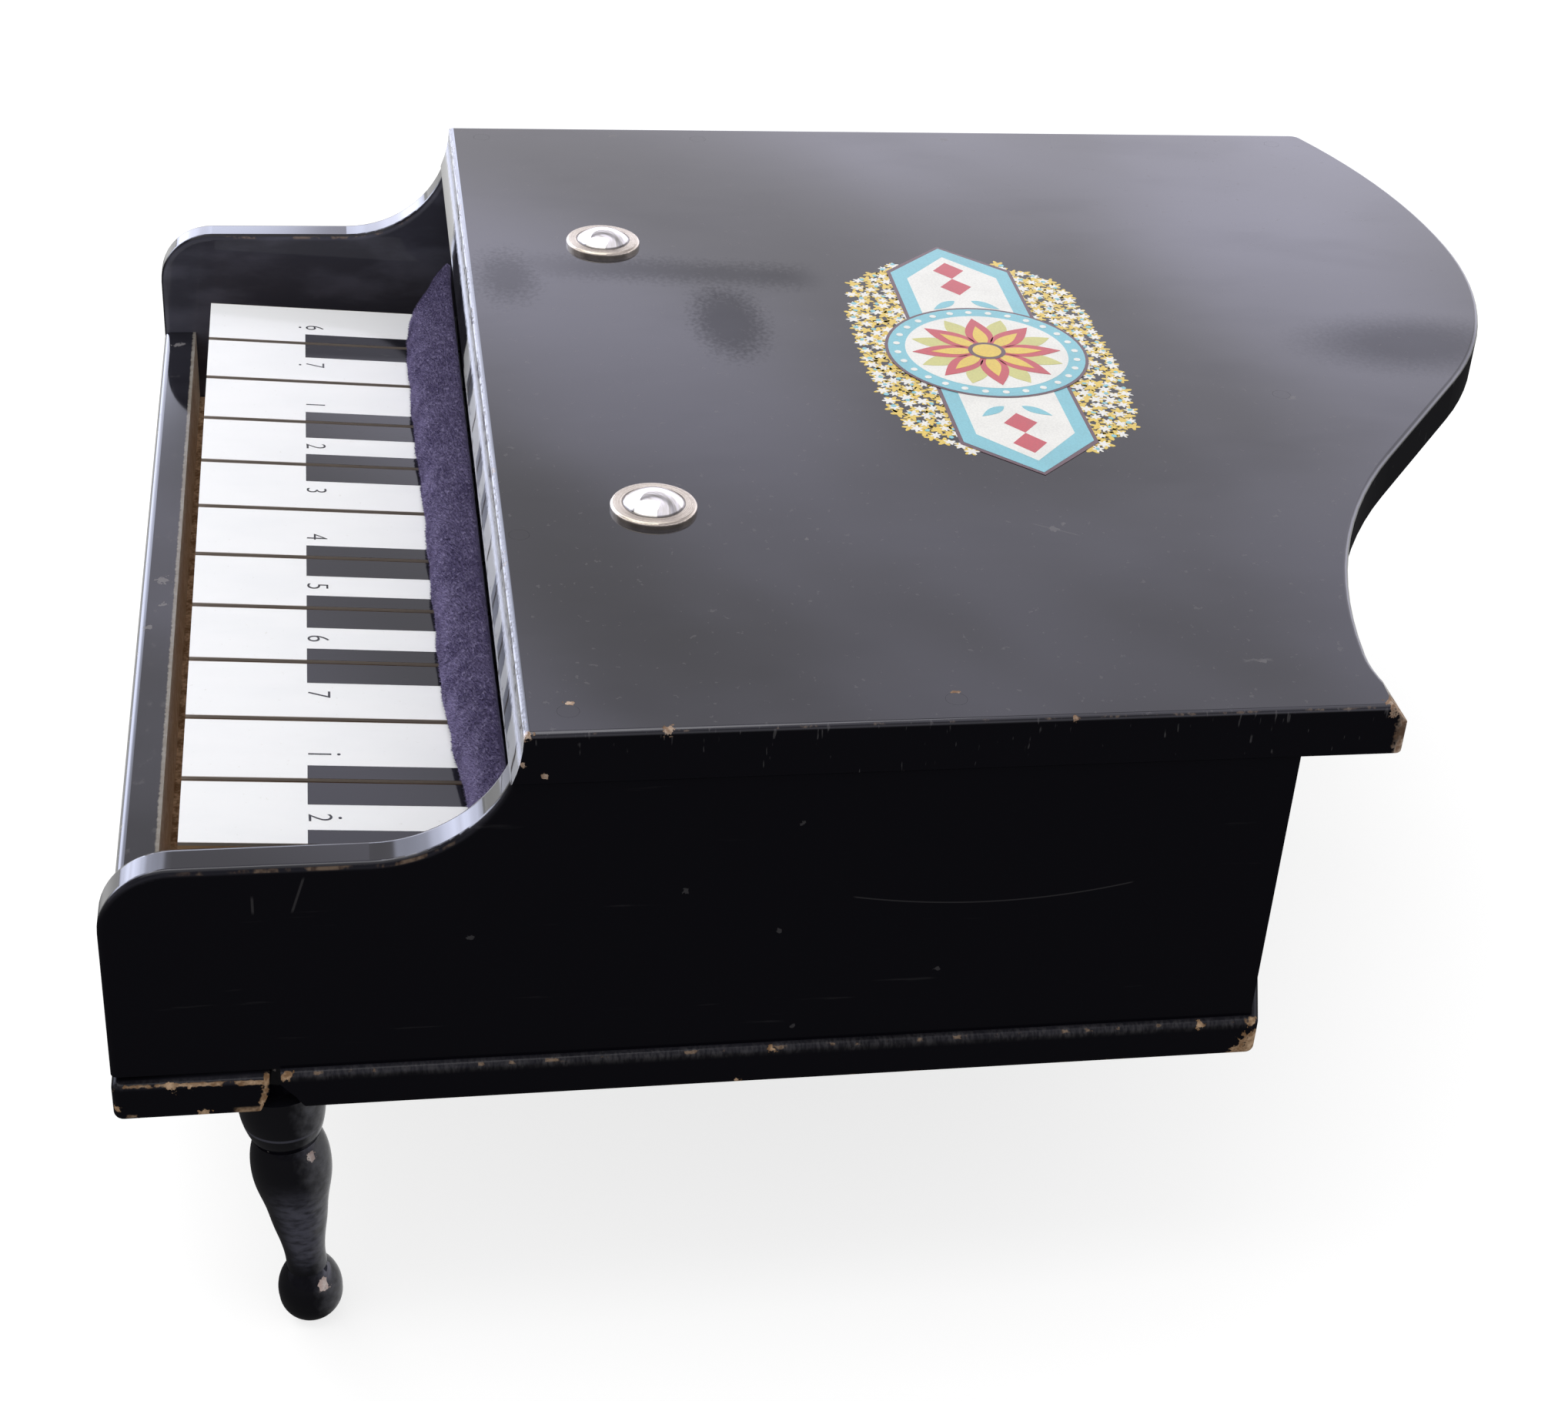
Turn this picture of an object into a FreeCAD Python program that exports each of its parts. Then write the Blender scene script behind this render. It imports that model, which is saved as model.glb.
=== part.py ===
import FreeCAD, Part
import math
import os

from FreeCAD import Vector

# Toy grand piano: a wooden case on turned legs, a curved lid, playing keys and an action of hammers
# that strike tuned steel rods. Millimetres, +Z up, floor at Z = 0, +X to the treble, +Y to the back.
# Places along Y count from the front of the case; saving a piece moves them to the middle of the part.

# Case sizes
case_width = 198.4
treble_depth = 152.3
bass_depth = 212.0
panel = 5.5
side_height = 43.3
arm_height = 32.0
nose_radius = 9.4
arm_round = 1.0

# Bottom board sizes
board = 6.1
board_lip = 1.2
board_corner = 1.3
board_round = 1.0
split_width = 12.0
split_turn = 3.7
split_crack = 0.6
split_crack_depth = 2.4
chip_outline_shares = ((-0.14, 1.2), (-0.17, 0.62), (-0.38, 0.10), (-0.86, -0.2),
                       (0.79, -0.2), (0.41, 0.36), (0.10, 0.70), (0.09, 1.2))

# Lid sizes
lid = 7.5
lid_lip = 0.45
lid_setback = 52.1
bass_overhang = 1.5
treble_overhang = 11.1
tail_tip_inset = 52.6
tail_radius = 126.0
lid_corner = 2.5
ear_length = 13.0
ear_reach = 3.3
ear_corner = 1.0
ear_wear = 3.7
ear_fade = 1.0
lid_round = 0.8
waist_slope_share = 0.834
tail_bend_share = 0.435

# Leg sizes
leg_height = 42.6
leg_radius = 5.75
tenon_radius = 3.5
ball_radius = 4.37
foot_flat = 0.4
front_leg_inset = 5.2
front_leg_setback = 20.7
rear_leg_inset = 21.0
rear_leg_width_share = -0.40
treble_leg_lean = 4.3
groove_radius_share = 0.76
groove_drop_share = 0.222
collar_drop_share = 0.08
vase_shares = ((0.87, 0.262), (0.935, 0.33), (0.90, 0.40), (0.755, 0.49), (0.65, 0.58), (0.55, 0.65),
               (0.485, 0.715))
ankle_share = 0.78

# Key slip and name board sizes
slip = 5.6
slip_height = 13.0
slip_round = 1.2
name_board_inset = 1.46
name_board = 5.5
name_board_clearance = 2.3

# Keyboard sizes
key_count = 11
key_side_gap = 11.2
key_gap = 1.0
key_setback = 9.2
key_front_height = 24.2
key_tilt = 3.72
key_dip = 5.0
axle_gap = 6.1
key_wood = 7.6
key_cover = 0.5
cover_length = 50.0
key_axle_radius = 1.5
key_spacer_radius = 3.0

# Velvet strip sizes
velvet = 1.2
velvet_drop = 9.8
velvet_reach = 8.0
velvet_bulge = 1.0
velvet_key_clearance = 0.45
velvet_seat = 0.05
velvet_station_shares = ((-0.905, 0.50), (-0.80, 0.89), (-0.70, 1.0), (-0.45, 0.99), (0.0, 0.89),
                         (0.45, 0.85), (0.62, 0.75), (0.75, 0.60), (0.905, 0.40))

# Key rail sizes
rail_depth = 8.0
rail_side_clearance = 4.0
rail_felt = 1.5
rest_rail_inset = 4.0
stop_rail_inset = 5.0
stop_gap = 0.3

# Hammer action sizes
hammer_width = 8.0
hammer_arm = 34.0
hammer_reach = 18.0
hammer_lift = 14.5
hammer_back_gap = 14.2
hammer_tail_gap = 10.5
hammer_head_radius = 3.2
hammer_hub_radius = 3.5
hammer_shank = 3.6
knuckle = 3.0
knuckle_gap = 0.3
let_off = 0.4
hammer_axle_radius = 1.0
hammer_spacer_radius = 2.4
bracket = 5.0
bracket_margin = 3.0
bracket_front_gap = 0.6

# Tone block and rod sizes
block_gap = 8.5
block_depth = 18.0
block_height = 12.0
block_side_clearance = 14.0
rod_radius = 1.25
rod_seat = 5.5
rod_end_gap = 17.8
rod_notes = (0, 2, 3, 5, 7, 8, 10, 12, 14, 15, 17)

# Lid bolt sizes
bolt_flange_radius = 6.1
bolt_flange = 0.95
bolt_dome_radius = 4.28
bolt_dome_height = 2.6
bolt_radius = 2.0
bolt_grip = 9.0
bolt_spacing = 91.0
bolt_shift = -1.6
bolt_inset = 8.5
bolt_skew = 0.67

# Nail sizes
nail_radius = 0.6
nail_head_radius = 1.4
nail_head = 0.5
nail_length = 16.0
nail_inset = 5.0
treble_nail_shares = (0.057, 0.545)
bass_nail_shares = (0.035, 0.28, 0.969)
name_nail_share = 0.51
back_nail_share = 0.443
base_nail_shares = (0.3, 0.6, 0.9)
slip_nail_share = 0.6

# Fits
press_clearance = 0.02
running_clearance = 0.05
end_play = 0.1
cut_overrun = 1.0

# Places worked out from the sizes
half_case = case_width / 2
half_inner = half_case - panel
half_board = half_case + board_lip
half_lid = half_case + lid_lip
board_low = leg_height
board_top = board_low + board
lid_low = board_top + side_height
lid_top = lid_low + lid
arm_top = board_top + arm_height
cove_radius = lid_top - arm_top
cove_y = lid_setback - cove_radius
cove_end = math.sqrt(cove_radius ** 2 - lid ** 2)
back_slope = (bass_depth - treble_depth) / case_width
back_angle = math.atan(back_slope)
back_wall = panel / math.cos(back_angle)
tail_tip_x = tail_tip_inset - half_lid
bass_corner_y = bass_depth + bass_overhang
tail_tip_y = bass_corner_y + tail_radius - math.sqrt(tail_radius ** 2 - tail_tip_inset ** 2)
waist_y = treble_depth + treble_overhang
overall_depth = tail_tip_y
tilt = math.radians(key_tilt)
pressed_tilt = math.radians(key_dip - key_tilt)
key_rise = key_wood / 2 + key_cover
name_board_setback = cove_y + cove_end + name_board_inset
name_board_rear = name_board_setback + name_board
pivot_y = name_board_rear + axle_gap
front_arm = (pivot_y - key_setback + key_rise * math.sin(tilt)) / math.cos(tilt)
pivot_z = board_top + key_front_height - front_arm * math.sin(tilt) - key_rise * math.cos(tilt)
treble_wall_y = treble_depth + panel * back_slope - back_wall
hammer_setback = treble_wall_y - hammer_back_gap
tail_arm = (hammer_setback - hammer_tail_gap - pivot_y) / math.cos(tilt)
key_pitch = (case_width - 2 * panel - 2 * key_side_gap) / key_count
key_width = key_pitch - key_gap
block_setback = name_board_rear + block_gap
block_rear = block_setback + block_depth
bolt_setback = block_setback + bolt_inset
rod_z = lid_low - block_height / 2
lift = math.radians(hammer_lift)
hammer_z = rod_z - rod_radius - let_off - hammer_head_radius - hammer_arm * math.sin(lift)
half_bracket = half_inner - bracket


def back_y(x):
    """Y of the outer face of the slanting back wall."""
    return treble_depth + (half_case - x) * back_slope


def key_top_y(y):
    """Height of a key's wooden top at rest, at a place along Y."""
    return pivot_z + key_wood / 2 / math.cos(tilt) - (y - pivot_y) * math.tan(tilt)


def key_centre(index):
    """X of one key's middle, counted from the bass."""
    return (index - (key_count - 1) / 2) * key_pitch


# Shapes used by several pieces
def box(low, high):
    """Block between two opposite corners."""
    size = [b - a for a, b in zip(low, high)]
    return Part.makeBox(*size, Vector(*low))


def plan_prism(points, low, high):
    """Upright prism over a plan outline."""
    corners = [Vector(x, y, low) for x, y in points]
    face = Part.Face(Part.makePolygon(corners + corners[:1]))
    return face.extrude(Vector(0, 0, high - low))


def bar_x(y, z, radius, low, high):
    """Round bar along X."""
    return Part.makeCylinder(radius, high - low, Vector(low, y, z), Vector(1, 0, 0))


def tube_x(y, z, radius, bore, low, high):
    """Round tube along X."""
    outer = bar_x(y, z, radius, low, high)
    return outer.cut(bar_x(y, z, bore, low - cut_overrun, high + cut_overrun))


def pin_z(x, y, radius, low, high):
    """Round pin along Z."""
    return Part.makeCylinder(radius, high - low, Vector(x, y, low))


def line(a, b):
    return Part.makeLine(a, b)


def arc(a, b, c):
    return Part.Arc(a, b, c).toShape()


def turned(edges):
    """Solid of revolution about Z from a closed profile in the XZ plane."""
    face = Part.Face(Part.Wire(edges))
    return face.revolve(Vector(0, 0, 0), Vector(0, 0, 1), 360)


def rounded(shape, radius, wanted):
    """Rounds the edges of a shape for which wanted(box of the edge) is true."""
    edges = [edge for edge in shape.Edges if wanted(edge.BoundBox)]
    return shape.makeFillet(radius, edges)


def flat_at(height):
    """Chooses edges that lie at one height."""
    return lambda b: abs(b.ZMin - height) < press_clearance and abs(b.ZMax - height) < press_clearance


def upright(b):
    """Chooses edges that stand along Z."""
    return b.XLength < press_clearance and b.YLength < press_clearance


# Case
def case_plan(out):
    """Plan outline of the case, widened by out on the sides and at the back."""
    half = half_case + out
    rear = out / math.cos(back_angle)
    return ((-half, 0), (half, 0), (half, back_y(half) + rear), (-half, back_y(-half) + rear))


def leg_places():
    """X, Y and lean of each leg at the underside of the board."""
    front_x = half_case - front_leg_inset
    rear_x = half_case * rear_leg_width_share
    return {"bass_front_leg": (-front_x, front_leg_setback, 0),
            "treble_front_leg": (front_x, front_leg_setback, treble_leg_lean),
            "rear_leg": (rear_x, back_y(rear_x) - rear_leg_inset, 0)}


def leaned(shape, place):
    """Leans a leg's shape towards the back and sets it under the board."""
    x, y, lean = place
    shape.rotate(Vector(0, 0, 0), Vector(1, 0, 0), lean)
    shape.translate(Vector(x, y, board_low))
    return shape


def split_corner(shape):
    """Turns the treble front corner of the board, split off at the leg, down a little."""
    hinge = half_board - split_width
    split_y = leg_places()["treble_front_leg"][1]
    reach = box((hinge, -cut_overrun, board_low - cut_overrun),
                (half_board + cut_overrun, split_y, board_top + cut_overrun))
    crack = box((hinge - split_crack, -cut_overrun, board_low - cut_overrun),
                (hinge + cut_overrun, split_crack_depth, board_top + cut_overrun))
    corner = shape.common(reach)
    corner.rotate(Vector(hinge, 0, board_top), Vector(0, 1, 0), split_turn)
    return shape.cut(reach).cut(crack).fuse(corner)


def bottom_board():
    shape = plan_prism(case_plan(board_lip), board_low, board_top)
    shape = rounded(shape, board_corner, upright)
    shape = rounded(shape, board_round, flat_at(board_top))
    shape = rounded(shape, board_round, flat_at(board_low))
    leg_x, leg_y, lean = leg_places()["treble_front_leg"]
    chip = [Vector(leg_x, leg_y + y * leg_radius, board_low + z * board) for y, z in chip_outline_shares]
    face = Part.Face(Part.makePolygon(chip + chip[:1]))
    shape = split_corner(shape.cut(face.extrude(Vector(half_board - leg_x + cut_overrun, 0, 0))))
    for place in leg_places().values():
        hole = pin_z(0, 0, tenon_radius + press_clearance, -board, board + board)
        shape = shape.cut(leaned(hole, place))
    for x, y in base_nail_places():
        shape = shape.cut(nail(x, y, board_low, 1, press_clearance))
    return shape


def side_panel(side):
    """Side of the case with its low front arm and the cove that sweeps up to the lid."""
    x = half_inner * side
    bend = math.sqrt(0.5)
    half_way = (math.pi / 2 + math.atan2(lid, cove_end)) / 2
    nose_top = arm_top - nose_radius
    front_low = Vector(x, 0, board_top)
    front_high = Vector(x, 0, nose_top)
    nose_mid = Vector(x, nose_radius * (1 - bend), nose_top + nose_radius * bend)
    nose_end = Vector(x, nose_radius, arm_top)
    cove_start = Vector(x, cove_y, arm_top)
    cove_mid = Vector(x, cove_y + cove_radius * math.cos(half_way),
                      lid_top - cove_radius * math.sin(half_way))
    cove_stop = Vector(x, cove_y + cove_end, lid_low)
    rear_high = Vector(x, bass_depth + panel, lid_low)
    rear_low = Vector(x, bass_depth + panel, board_top)
    edges = [line(front_low, front_high), arc(front_high, nose_mid, nose_end), line(nose_end, cove_start),
             arc(cove_start, cove_mid, cove_stop), line(cove_stop, rear_high), line(rear_high, rear_low),
             line(rear_low, front_low)]
    shape = Part.Face(Part.Wire(edges)).extrude(Vector(panel * side, 0, 0))
    shape = shape.common(plan_prism(case_plan(0), board_top, lid_low))
    arm_edge = lambda b: b.XLength < press_clearance and b.YMax < lid_setback and b.ZMax > board_top + panel
    shape = rounded(shape, arm_round, arm_edge)
    for x, y in lid_nail_places():
        shape = shape.cut(nail(x, y, lid_top, -1, press_clearance))
    for x, y in base_nail_places():
        shape = shape.cut(nail(x, y, board_low, 1, press_clearance))
    return shape


def back_panel():
    points = ((-half_inner, back_y(-half_inner)), (half_inner, back_y(half_inner)),
              (half_inner, back_y(half_inner) - back_wall), (-half_inner, back_y(-half_inner) - back_wall))
    shape = plan_prism(points, board_top, lid_low)
    for x, y in lid_nail_places():
        shape = shape.cut(nail(x, y, lid_top, -1, press_clearance))
    for x, y in base_nail_places():
        shape = shape.cut(nail(x, y, board_low, 1, press_clearance))
    return shape


def lid_board():
    """Lid with the long bass side, round tail and drawn-in waist of a grand, and a hollowed front edge."""
    run = half_lid - tail_tip_x
    fall = tail_tip_y - waist_y
    slope = waist_slope_share * 2 * math.atan(fall / run)
    bends = (run * math.sin(slope) - fall * math.cos(slope)) / (1 - math.cos(slope))
    tail_bend = bends * tail_bend_share
    waist_bend = bends - tail_bend
    half_inset = tail_tip_inset / 2

    def tail_bass(x):
        drop = tail_radius - math.sqrt(tail_radius ** 2 - (x - tail_tip_x) ** 2)
        return Vector(x, tail_tip_y - drop, lid_low)

    def tail_treble(angle):
        return Vector(tail_tip_x + tail_bend * math.sin(angle),
                      tail_tip_y - tail_bend * (1 - math.cos(angle)), lid_low)

    def waist(angle):
        return Vector(half_lid - waist_bend * math.sin(angle),
                      waist_y + waist_bend * (1 - math.cos(angle)), lid_low)

    ear_start = math.asin(ear_length / waist_bend)
    ear_tip = Vector(half_lid, waist_y + ear_reach, lid_low)
    ear_chord = ear_tip - waist(ear_start)
    sag = math.tan((ear_start + math.atan2(ear_chord.y, ear_chord.x)) / 2) / 2
    ear_mid = waist(ear_start) + ear_chord / 2 + Vector(ear_chord.y, -ear_chord.x, 0) * sag

    front_bass = Vector(-half_lid, cove_y, lid_low)
    front_treble = Vector(half_lid, cove_y, lid_low)
    corner = tail_bass(-half_lid)
    edges = [line(front_bass, front_treble), line(front_treble, ear_tip),
             arc(ear_tip, ear_mid, waist(ear_start)),
             arc(waist(ear_start), waist((ear_start + slope) / 2), waist(slope)),
             line(waist(slope), tail_treble(slope)),
             arc(tail_treble(slope), tail_treble(slope / 2), tail_treble(0)),
             arc(tail_treble(0), tail_bass(tail_tip_x - half_inset), corner), line(corner, front_bass)]
    shape = Part.Face(Part.Wire(edges)).extrude(Vector(0, 0, lid))
    ends = (-half_lid - cut_overrun, half_lid + cut_overrun)
    shape = shape.cut(bar_x(cove_y, lid_top, cove_radius, *ends))
    bass_corner = lambda b: upright(b) and b.YMin > lid_setback and b.XMax < -half_case
    treble_corner = lambda b: upright(b) and b.YMin > lid_setback and b.XMin > half_case
    shape = rounded(shape, lid_corner, bass_corner)
    shape = rounded(shape, ear_corner, treble_corner)
    shape = rounded(shape, lid_round, flat_at(lid_top))
    shape = rounded(shape, lid_round / 2, lambda b: flat_at(lid_low)(b) and b.YMax > lid_setback)
    worn_low = lid_top - ear_wear
    worn_high = lid_top + cut_overrun
    worn_rear = ear_tip.y + ear_fade + cut_overrun
    outline = ((waist_y + ear_fade, lid_top), (ear_tip.y + ear_fade, worn_low), (worn_rear, worn_low),
               (worn_rear, worn_high), (waist_y + ear_fade, worn_high))
    worn = [Vector(half_lid - ear_length, y, z) for y, z in outline]
    face = Part.Face(Part.makePolygon(worn + worn[:1]))
    shape = shape.cut(face.extrude(Vector(ear_length + cut_overrun, -ear_fade, 0)))
    for x, y in bolt_places():
        shape = shape.cut(pin_z(x, y, bolt_radius + end_play, lid_low - cut_overrun, lid_top + cut_overrun))
    for x, y in lid_nail_places():
        shape = shape.cut(nail(x, y, lid_top, -1, press_clearance))
    return shape


def name_board_piece():
    low = key_top_y(name_board_setback) + key_cover + name_board_clearance
    shape = box((-half_inner, name_board_setback, low),
                (half_inner, name_board_rear, lid_low))
    for x, y in lid_nail_places():
        shape = shape.cut(nail(x, y, lid_top, -1, press_clearance))
    return shape


def key_slip():
    shape = box((-half_inner, 0, board_top), (half_inner, slip, board_top + slip_height))
    top_front = lambda b: flat_at(board_top + slip_height)(b) and b.YMax < press_clearance
    shape = rounded(shape, slip_round, top_front)
    for x, y in base_nail_places():
        shape = shape.cut(nail(x, y, board_low, 1, press_clearance))
    return shape


def leg(place):
    """Turned leg: collar, groove, vase, ankle and a bun foot that stands flat on the floor."""
    length = (leg_height + foot_flat) / math.cos(math.radians(place[2]))
    ankle_drop = length * ankle_share
    groove = Vector(leg_radius * groove_radius_share, 0, -length * groove_drop_share)
    collar_low = Vector(leg_radius, 0, -length * collar_drop_share)
    collar_mid = (collar_low + groove) / 2 + Vector(leg_radius - groove.x, 0, 0) / 4
    vase = [groove] + [Vector(leg_radius * r, 0, -length * z) for r, z in vase_shares]
    ankle = Vector(vase[-1].x, 0, -ankle_drop)
    waist_line = Part.BSplineCurve()
    waist_line.interpolate(vase + [ankle])
    ball_middle = length - ball_radius
    shoulder_mid = Vector((ankle.x + 2 * ball_radius) / 3, 0, -(2 * ankle_drop + ball_middle) / 3)
    ball_side = Vector(ball_radius, 0, -ball_middle)
    bend = math.sqrt(0.5)
    ball_low = Vector(ball_radius * bend, 0, -ball_middle - ball_radius * bend)
    foot = Vector(0, 0, -length)
    seat = Vector(leg_radius, 0, board)
    axis_top = Vector(0, 0, board)
    edges = [line(axis_top, seat), line(seat, collar_low), arc(collar_low, collar_mid, groove),
             waist_line.toShape(), arc(ankle, shoulder_mid, ball_side), arc(ball_side, ball_low, foot),
             line(foot, axis_top)]
    reach = leg_height + leg_radius
    x, y = place[:2]
    below = box((x - reach, y - reach, 0), (x + reach, y + reach, board_low))
    inside = box((x - reach, y - reach, board_low), (x + reach, y + reach, board_top))
    post = leaned(turned(edges), place).common(below)
    tenon = leaned(pin_z(0, 0, tenon_radius, -board / 2, board + board), place).common(inside)
    return post.fuse(tenon).removeSplitter()


def velvet_strip():
    """Velvet strip glued along the name board; the keys push its lower edge forward."""
    back = name_board_setback - velvet_seat
    sections = []
    for place, reach in velvet_station_shares:
        x = half_inner * place
        front = name_board_setback - velvet_reach * reach
        low = key_top_y(front) + key_cover + velvet_key_clearance
        high = key_top_y(name_board_setback) + velvet_drop
        top_back = Vector(x, back, high)
        top_front = Vector(x, back - velvet, high)
        low_front = Vector(x, front - velvet / 2, low)
        low_back = Vector(x, front + velvet / 2, low)
        swell = Vector(0, -velvet_bulge * reach, velvet_bulge * reach)
        mid_front = (top_front + low_front) / 2 + swell
        mid_back = (top_back + low_back) / 2 + swell
        sections.append(Part.Wire([line(top_back, top_front), arc(top_front, mid_front, low_front),
                                   line(low_front, low_back), arc(low_back, mid_back, top_back)]))
    return Part.makeLoft(sections, True, False)


# Fasteners
def nail(x, y, head_z, way, extra):
    """Flat-headed nail driven from head_z along Z; extra widens it for cutting its hole."""
    head_low = min(head_z, head_z + way * nail_head)
    shank_low = min(head_z, head_z + way * nail_length)
    head = pin_z(x, y, nail_head_radius + extra, head_low, head_low + nail_head)
    shank = pin_z(x, y, nail_radius + extra, shank_low, shank_low + nail_length)
    return head.fuse(shank).removeSplitter()


def lid_nail_places():
    edge = half_lid - nail_inset
    middle = back_wall / 2
    lidded_treble = treble_depth - lid_setback
    lidded_bass = bass_depth - lid_setback
    back_x = half_inner * (1 - 2 * back_nail_share)
    places = [(edge, lid_setback + share * lidded_treble) for share in treble_nail_shares]
    places += [(-edge, lid_setback + share * lidded_bass) for share in bass_nail_shares]
    places += [(half_case * name_nail_share, name_board_setback + name_board / 2)]
    return places + [(back_x, back_y(back_x) - middle)]


def base_nail_places():
    edge = half_case - panel / 2
    middle = back_wall / 2
    slip_x = half_inner * slip_nail_share
    places = [(edge, treble_depth * share) for share in base_nail_shares]
    places += [(-edge, bass_depth * share) for share in base_nail_shares]
    for x in (-slip_x, slip_x):
        places += [(x, slip / 2), (x, back_y(x) - middle)]
    return places


def bolt_places():
    half = bolt_spacing / 2
    return ((bolt_shift - half, bolt_setback + bolt_skew), (bolt_shift + half, bolt_setback - bolt_skew))


def lid_bolts():
    """Two dome-headed bolts with a flange, which hold the tone block under the lid."""
    bolts = []
    rim = bolt_flange / 2
    swell = bolt_dome_height - bolt_flange
    sphere = (bolt_dome_radius ** 2 + swell ** 2) / 2 / swell
    half_dome = bolt_dome_radius / 2
    crown = Vector(0, 0, bolt_dome_height)
    dome_mid = Vector(half_dome, 0, bolt_dome_height - sphere + math.sqrt(sphere ** 2 - half_dome ** 2))
    dome_end = Vector(bolt_dome_radius, 0, bolt_flange)
    flange_top = Vector(bolt_flange_radius - rim, 0, bolt_flange)
    flange_side = Vector(bolt_flange_radius, 0, rim)
    bend = math.sqrt(0.5)
    flange_mid = Vector(bolt_flange_radius - rim * (1 - bend), 0, rim + rim * bend)
    flange_low = Vector(bolt_flange_radius, 0, 0)
    neck = Vector(bolt_radius, 0, 0)
    tip = Vector(bolt_radius, 0, -lid - bolt_grip)
    end = Vector(0, 0, -lid - bolt_grip)
    edges = [arc(crown, dome_mid, dome_end), line(dome_end, flange_top),
             arc(flange_top, flange_mid, flange_side), line(flange_side, flange_low), line(flange_low, neck),
             line(neck, tip), line(tip, end), line(end, crown)]
    for x, y in bolt_places():
        bolt = turned(edges)
        bolt.translate(Vector(x, y, lid_top))
        bolts.append(bolt)
    return Part.makeCompound(bolts)


# Keys and their rails
def key_turned(shape, index):
    """Tilts a key's shape about its axle and sets it in its place."""
    shape.rotate(Vector(0, 0, 0), Vector(1, 0, 0), -key_tilt)
    shape.translate(Vector(key_centre(index), pivot_y, pivot_z))
    return shape


def key_lever(index):
    half = key_width / 2
    shape = box((-half, -front_arm, -key_wood / 2), (half, tail_arm, key_wood / 2))
    hole = bar_x(0, 0, key_axle_radius + running_clearance, -half - cut_overrun, half + cut_overrun)
    return key_turned(shape.cut(hole), index)


def key_top(index):
    half = key_width / 2
    rear = cover_length - front_arm
    shape = box((-half, -front_arm, key_wood / 2), (half, rear, key_rise))
    return key_turned(shape, index)


def spacers(y, z, radius, bore, piece_width):
    """Tubes on an axle that keep a row of levers apart and off the brackets."""
    half = piece_width / 2
    middles = [key_centre(index) for index in range(key_count)]
    starts = [-half_bracket] + [x + half for x in middles]
    stops = [x - half for x in middles] + [half_bracket]
    tubes = [tube_x(y, z, radius, bore, low + end_play, high - end_play) for low, high in zip(starts, stops)]
    return Part.makeCompound(tubes)


def rail_and_felt(front, felt_top):
    """Wooden rail across the board with a felt strip on it."""
    half = half_bracket - rail_side_clearance
    rail = box((-half, front, board_top), (half, front + rail_depth, felt_top - rail_felt))
    felt = box((-half, front, felt_top - rail_felt), (half, front + rail_depth, felt_top))
    return rail, felt


def rest_rail():
    rear = pivot_y + tail_arm * math.cos(tilt) - rest_rail_inset
    key_low = pivot_z - key_wood / 2 / math.cos(tilt) - (rear - pivot_y) * math.tan(tilt)
    return rail_and_felt(rear - rail_depth, key_low - stop_gap)


def stop_rail():
    front = key_setback + stop_rail_inset
    key_low = pivot_z - key_wood / 2 / math.cos(pressed_tilt) + (front - pivot_y) * math.tan(pressed_tilt)
    return rail_and_felt(front, key_low - stop_gap)


# Hammer action
def hammer(index):
    """Hammer with a round head, a hub on the axle and a knuckle that rides on the key's tail."""
    half = hammer_width / 2
    x = key_centre(index)
    low, high = x - half, x + half
    head_y = hammer_setback - hammer_arm
    knuckle_y = hammer_setback - hammer_reach
    knuckle_z = key_top_y(knuckle_y) + knuckle_gap + knuckle / 2
    shape = bar_x(hammer_setback, hammer_z, hammer_hub_radius, low, high)
    shape = shape.fuse(bar_x(head_y, hammer_z, hammer_head_radius, low, high))
    shank_low = hammer_z - hammer_shank / 2
    shape = shape.fuse(box((low, head_y, shank_low), (high, hammer_setback, shank_low + hammer_shank)))
    post = knuckle_y - knuckle / 2
    shape = shape.fuse(box((low, post, knuckle_z), (high, post + knuckle, hammer_z)))
    shape = shape.fuse(bar_x(knuckle_y, knuckle_z, knuckle / 2, low, high))
    bore = hammer_axle_radius + running_clearance
    shape = shape.cut(bar_x(hammer_setback, hammer_z, bore, low - cut_overrun, high + cut_overrun))
    return shape.removeSplitter()


def action_bracket(side):
    """Wooden cheek that carries the two axles beside the keys."""
    front = name_board_rear + bracket_front_gap
    rear = hammer_setback + hammer_hub_radius + bracket_margin
    high = hammer_z + hammer_hub_radius + bracket_margin
    ends = sorted((half_bracket * side, half_inner * side))
    shape = box((ends[0], front, board_top), (ends[1], rear, high))
    span = (ends[0] - cut_overrun, ends[1] + cut_overrun)
    shape = shape.cut(bar_x(pivot_y, pivot_z, key_axle_radius + press_clearance, *span))
    return shape.cut(bar_x(hammer_setback, hammer_z, hammer_axle_radius + press_clearance, *span))


def tone_block():
    """Cast bar under the lid that clamps the rods."""
    half = half_inner - block_side_clearance
    shape = box((-half, block_setback, lid_low - block_height), (half, block_rear, lid_low))
    for index in range(key_count):
        hole = Part.makeCylinder(rod_radius + press_clearance, rod_seat + cut_overrun,
                                 Vector(key_centre(index), block_rear - rod_seat, rod_z), Vector(0, 1, 0))
        shape = shape.cut(hole)
    for x, y in bolt_places():
        bore = bolt_radius + press_clearance
        shape = shape.cut(pin_z(x, y, bore, lid_low - bolt_grip, lid_low + cut_overrun))
    return shape


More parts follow.
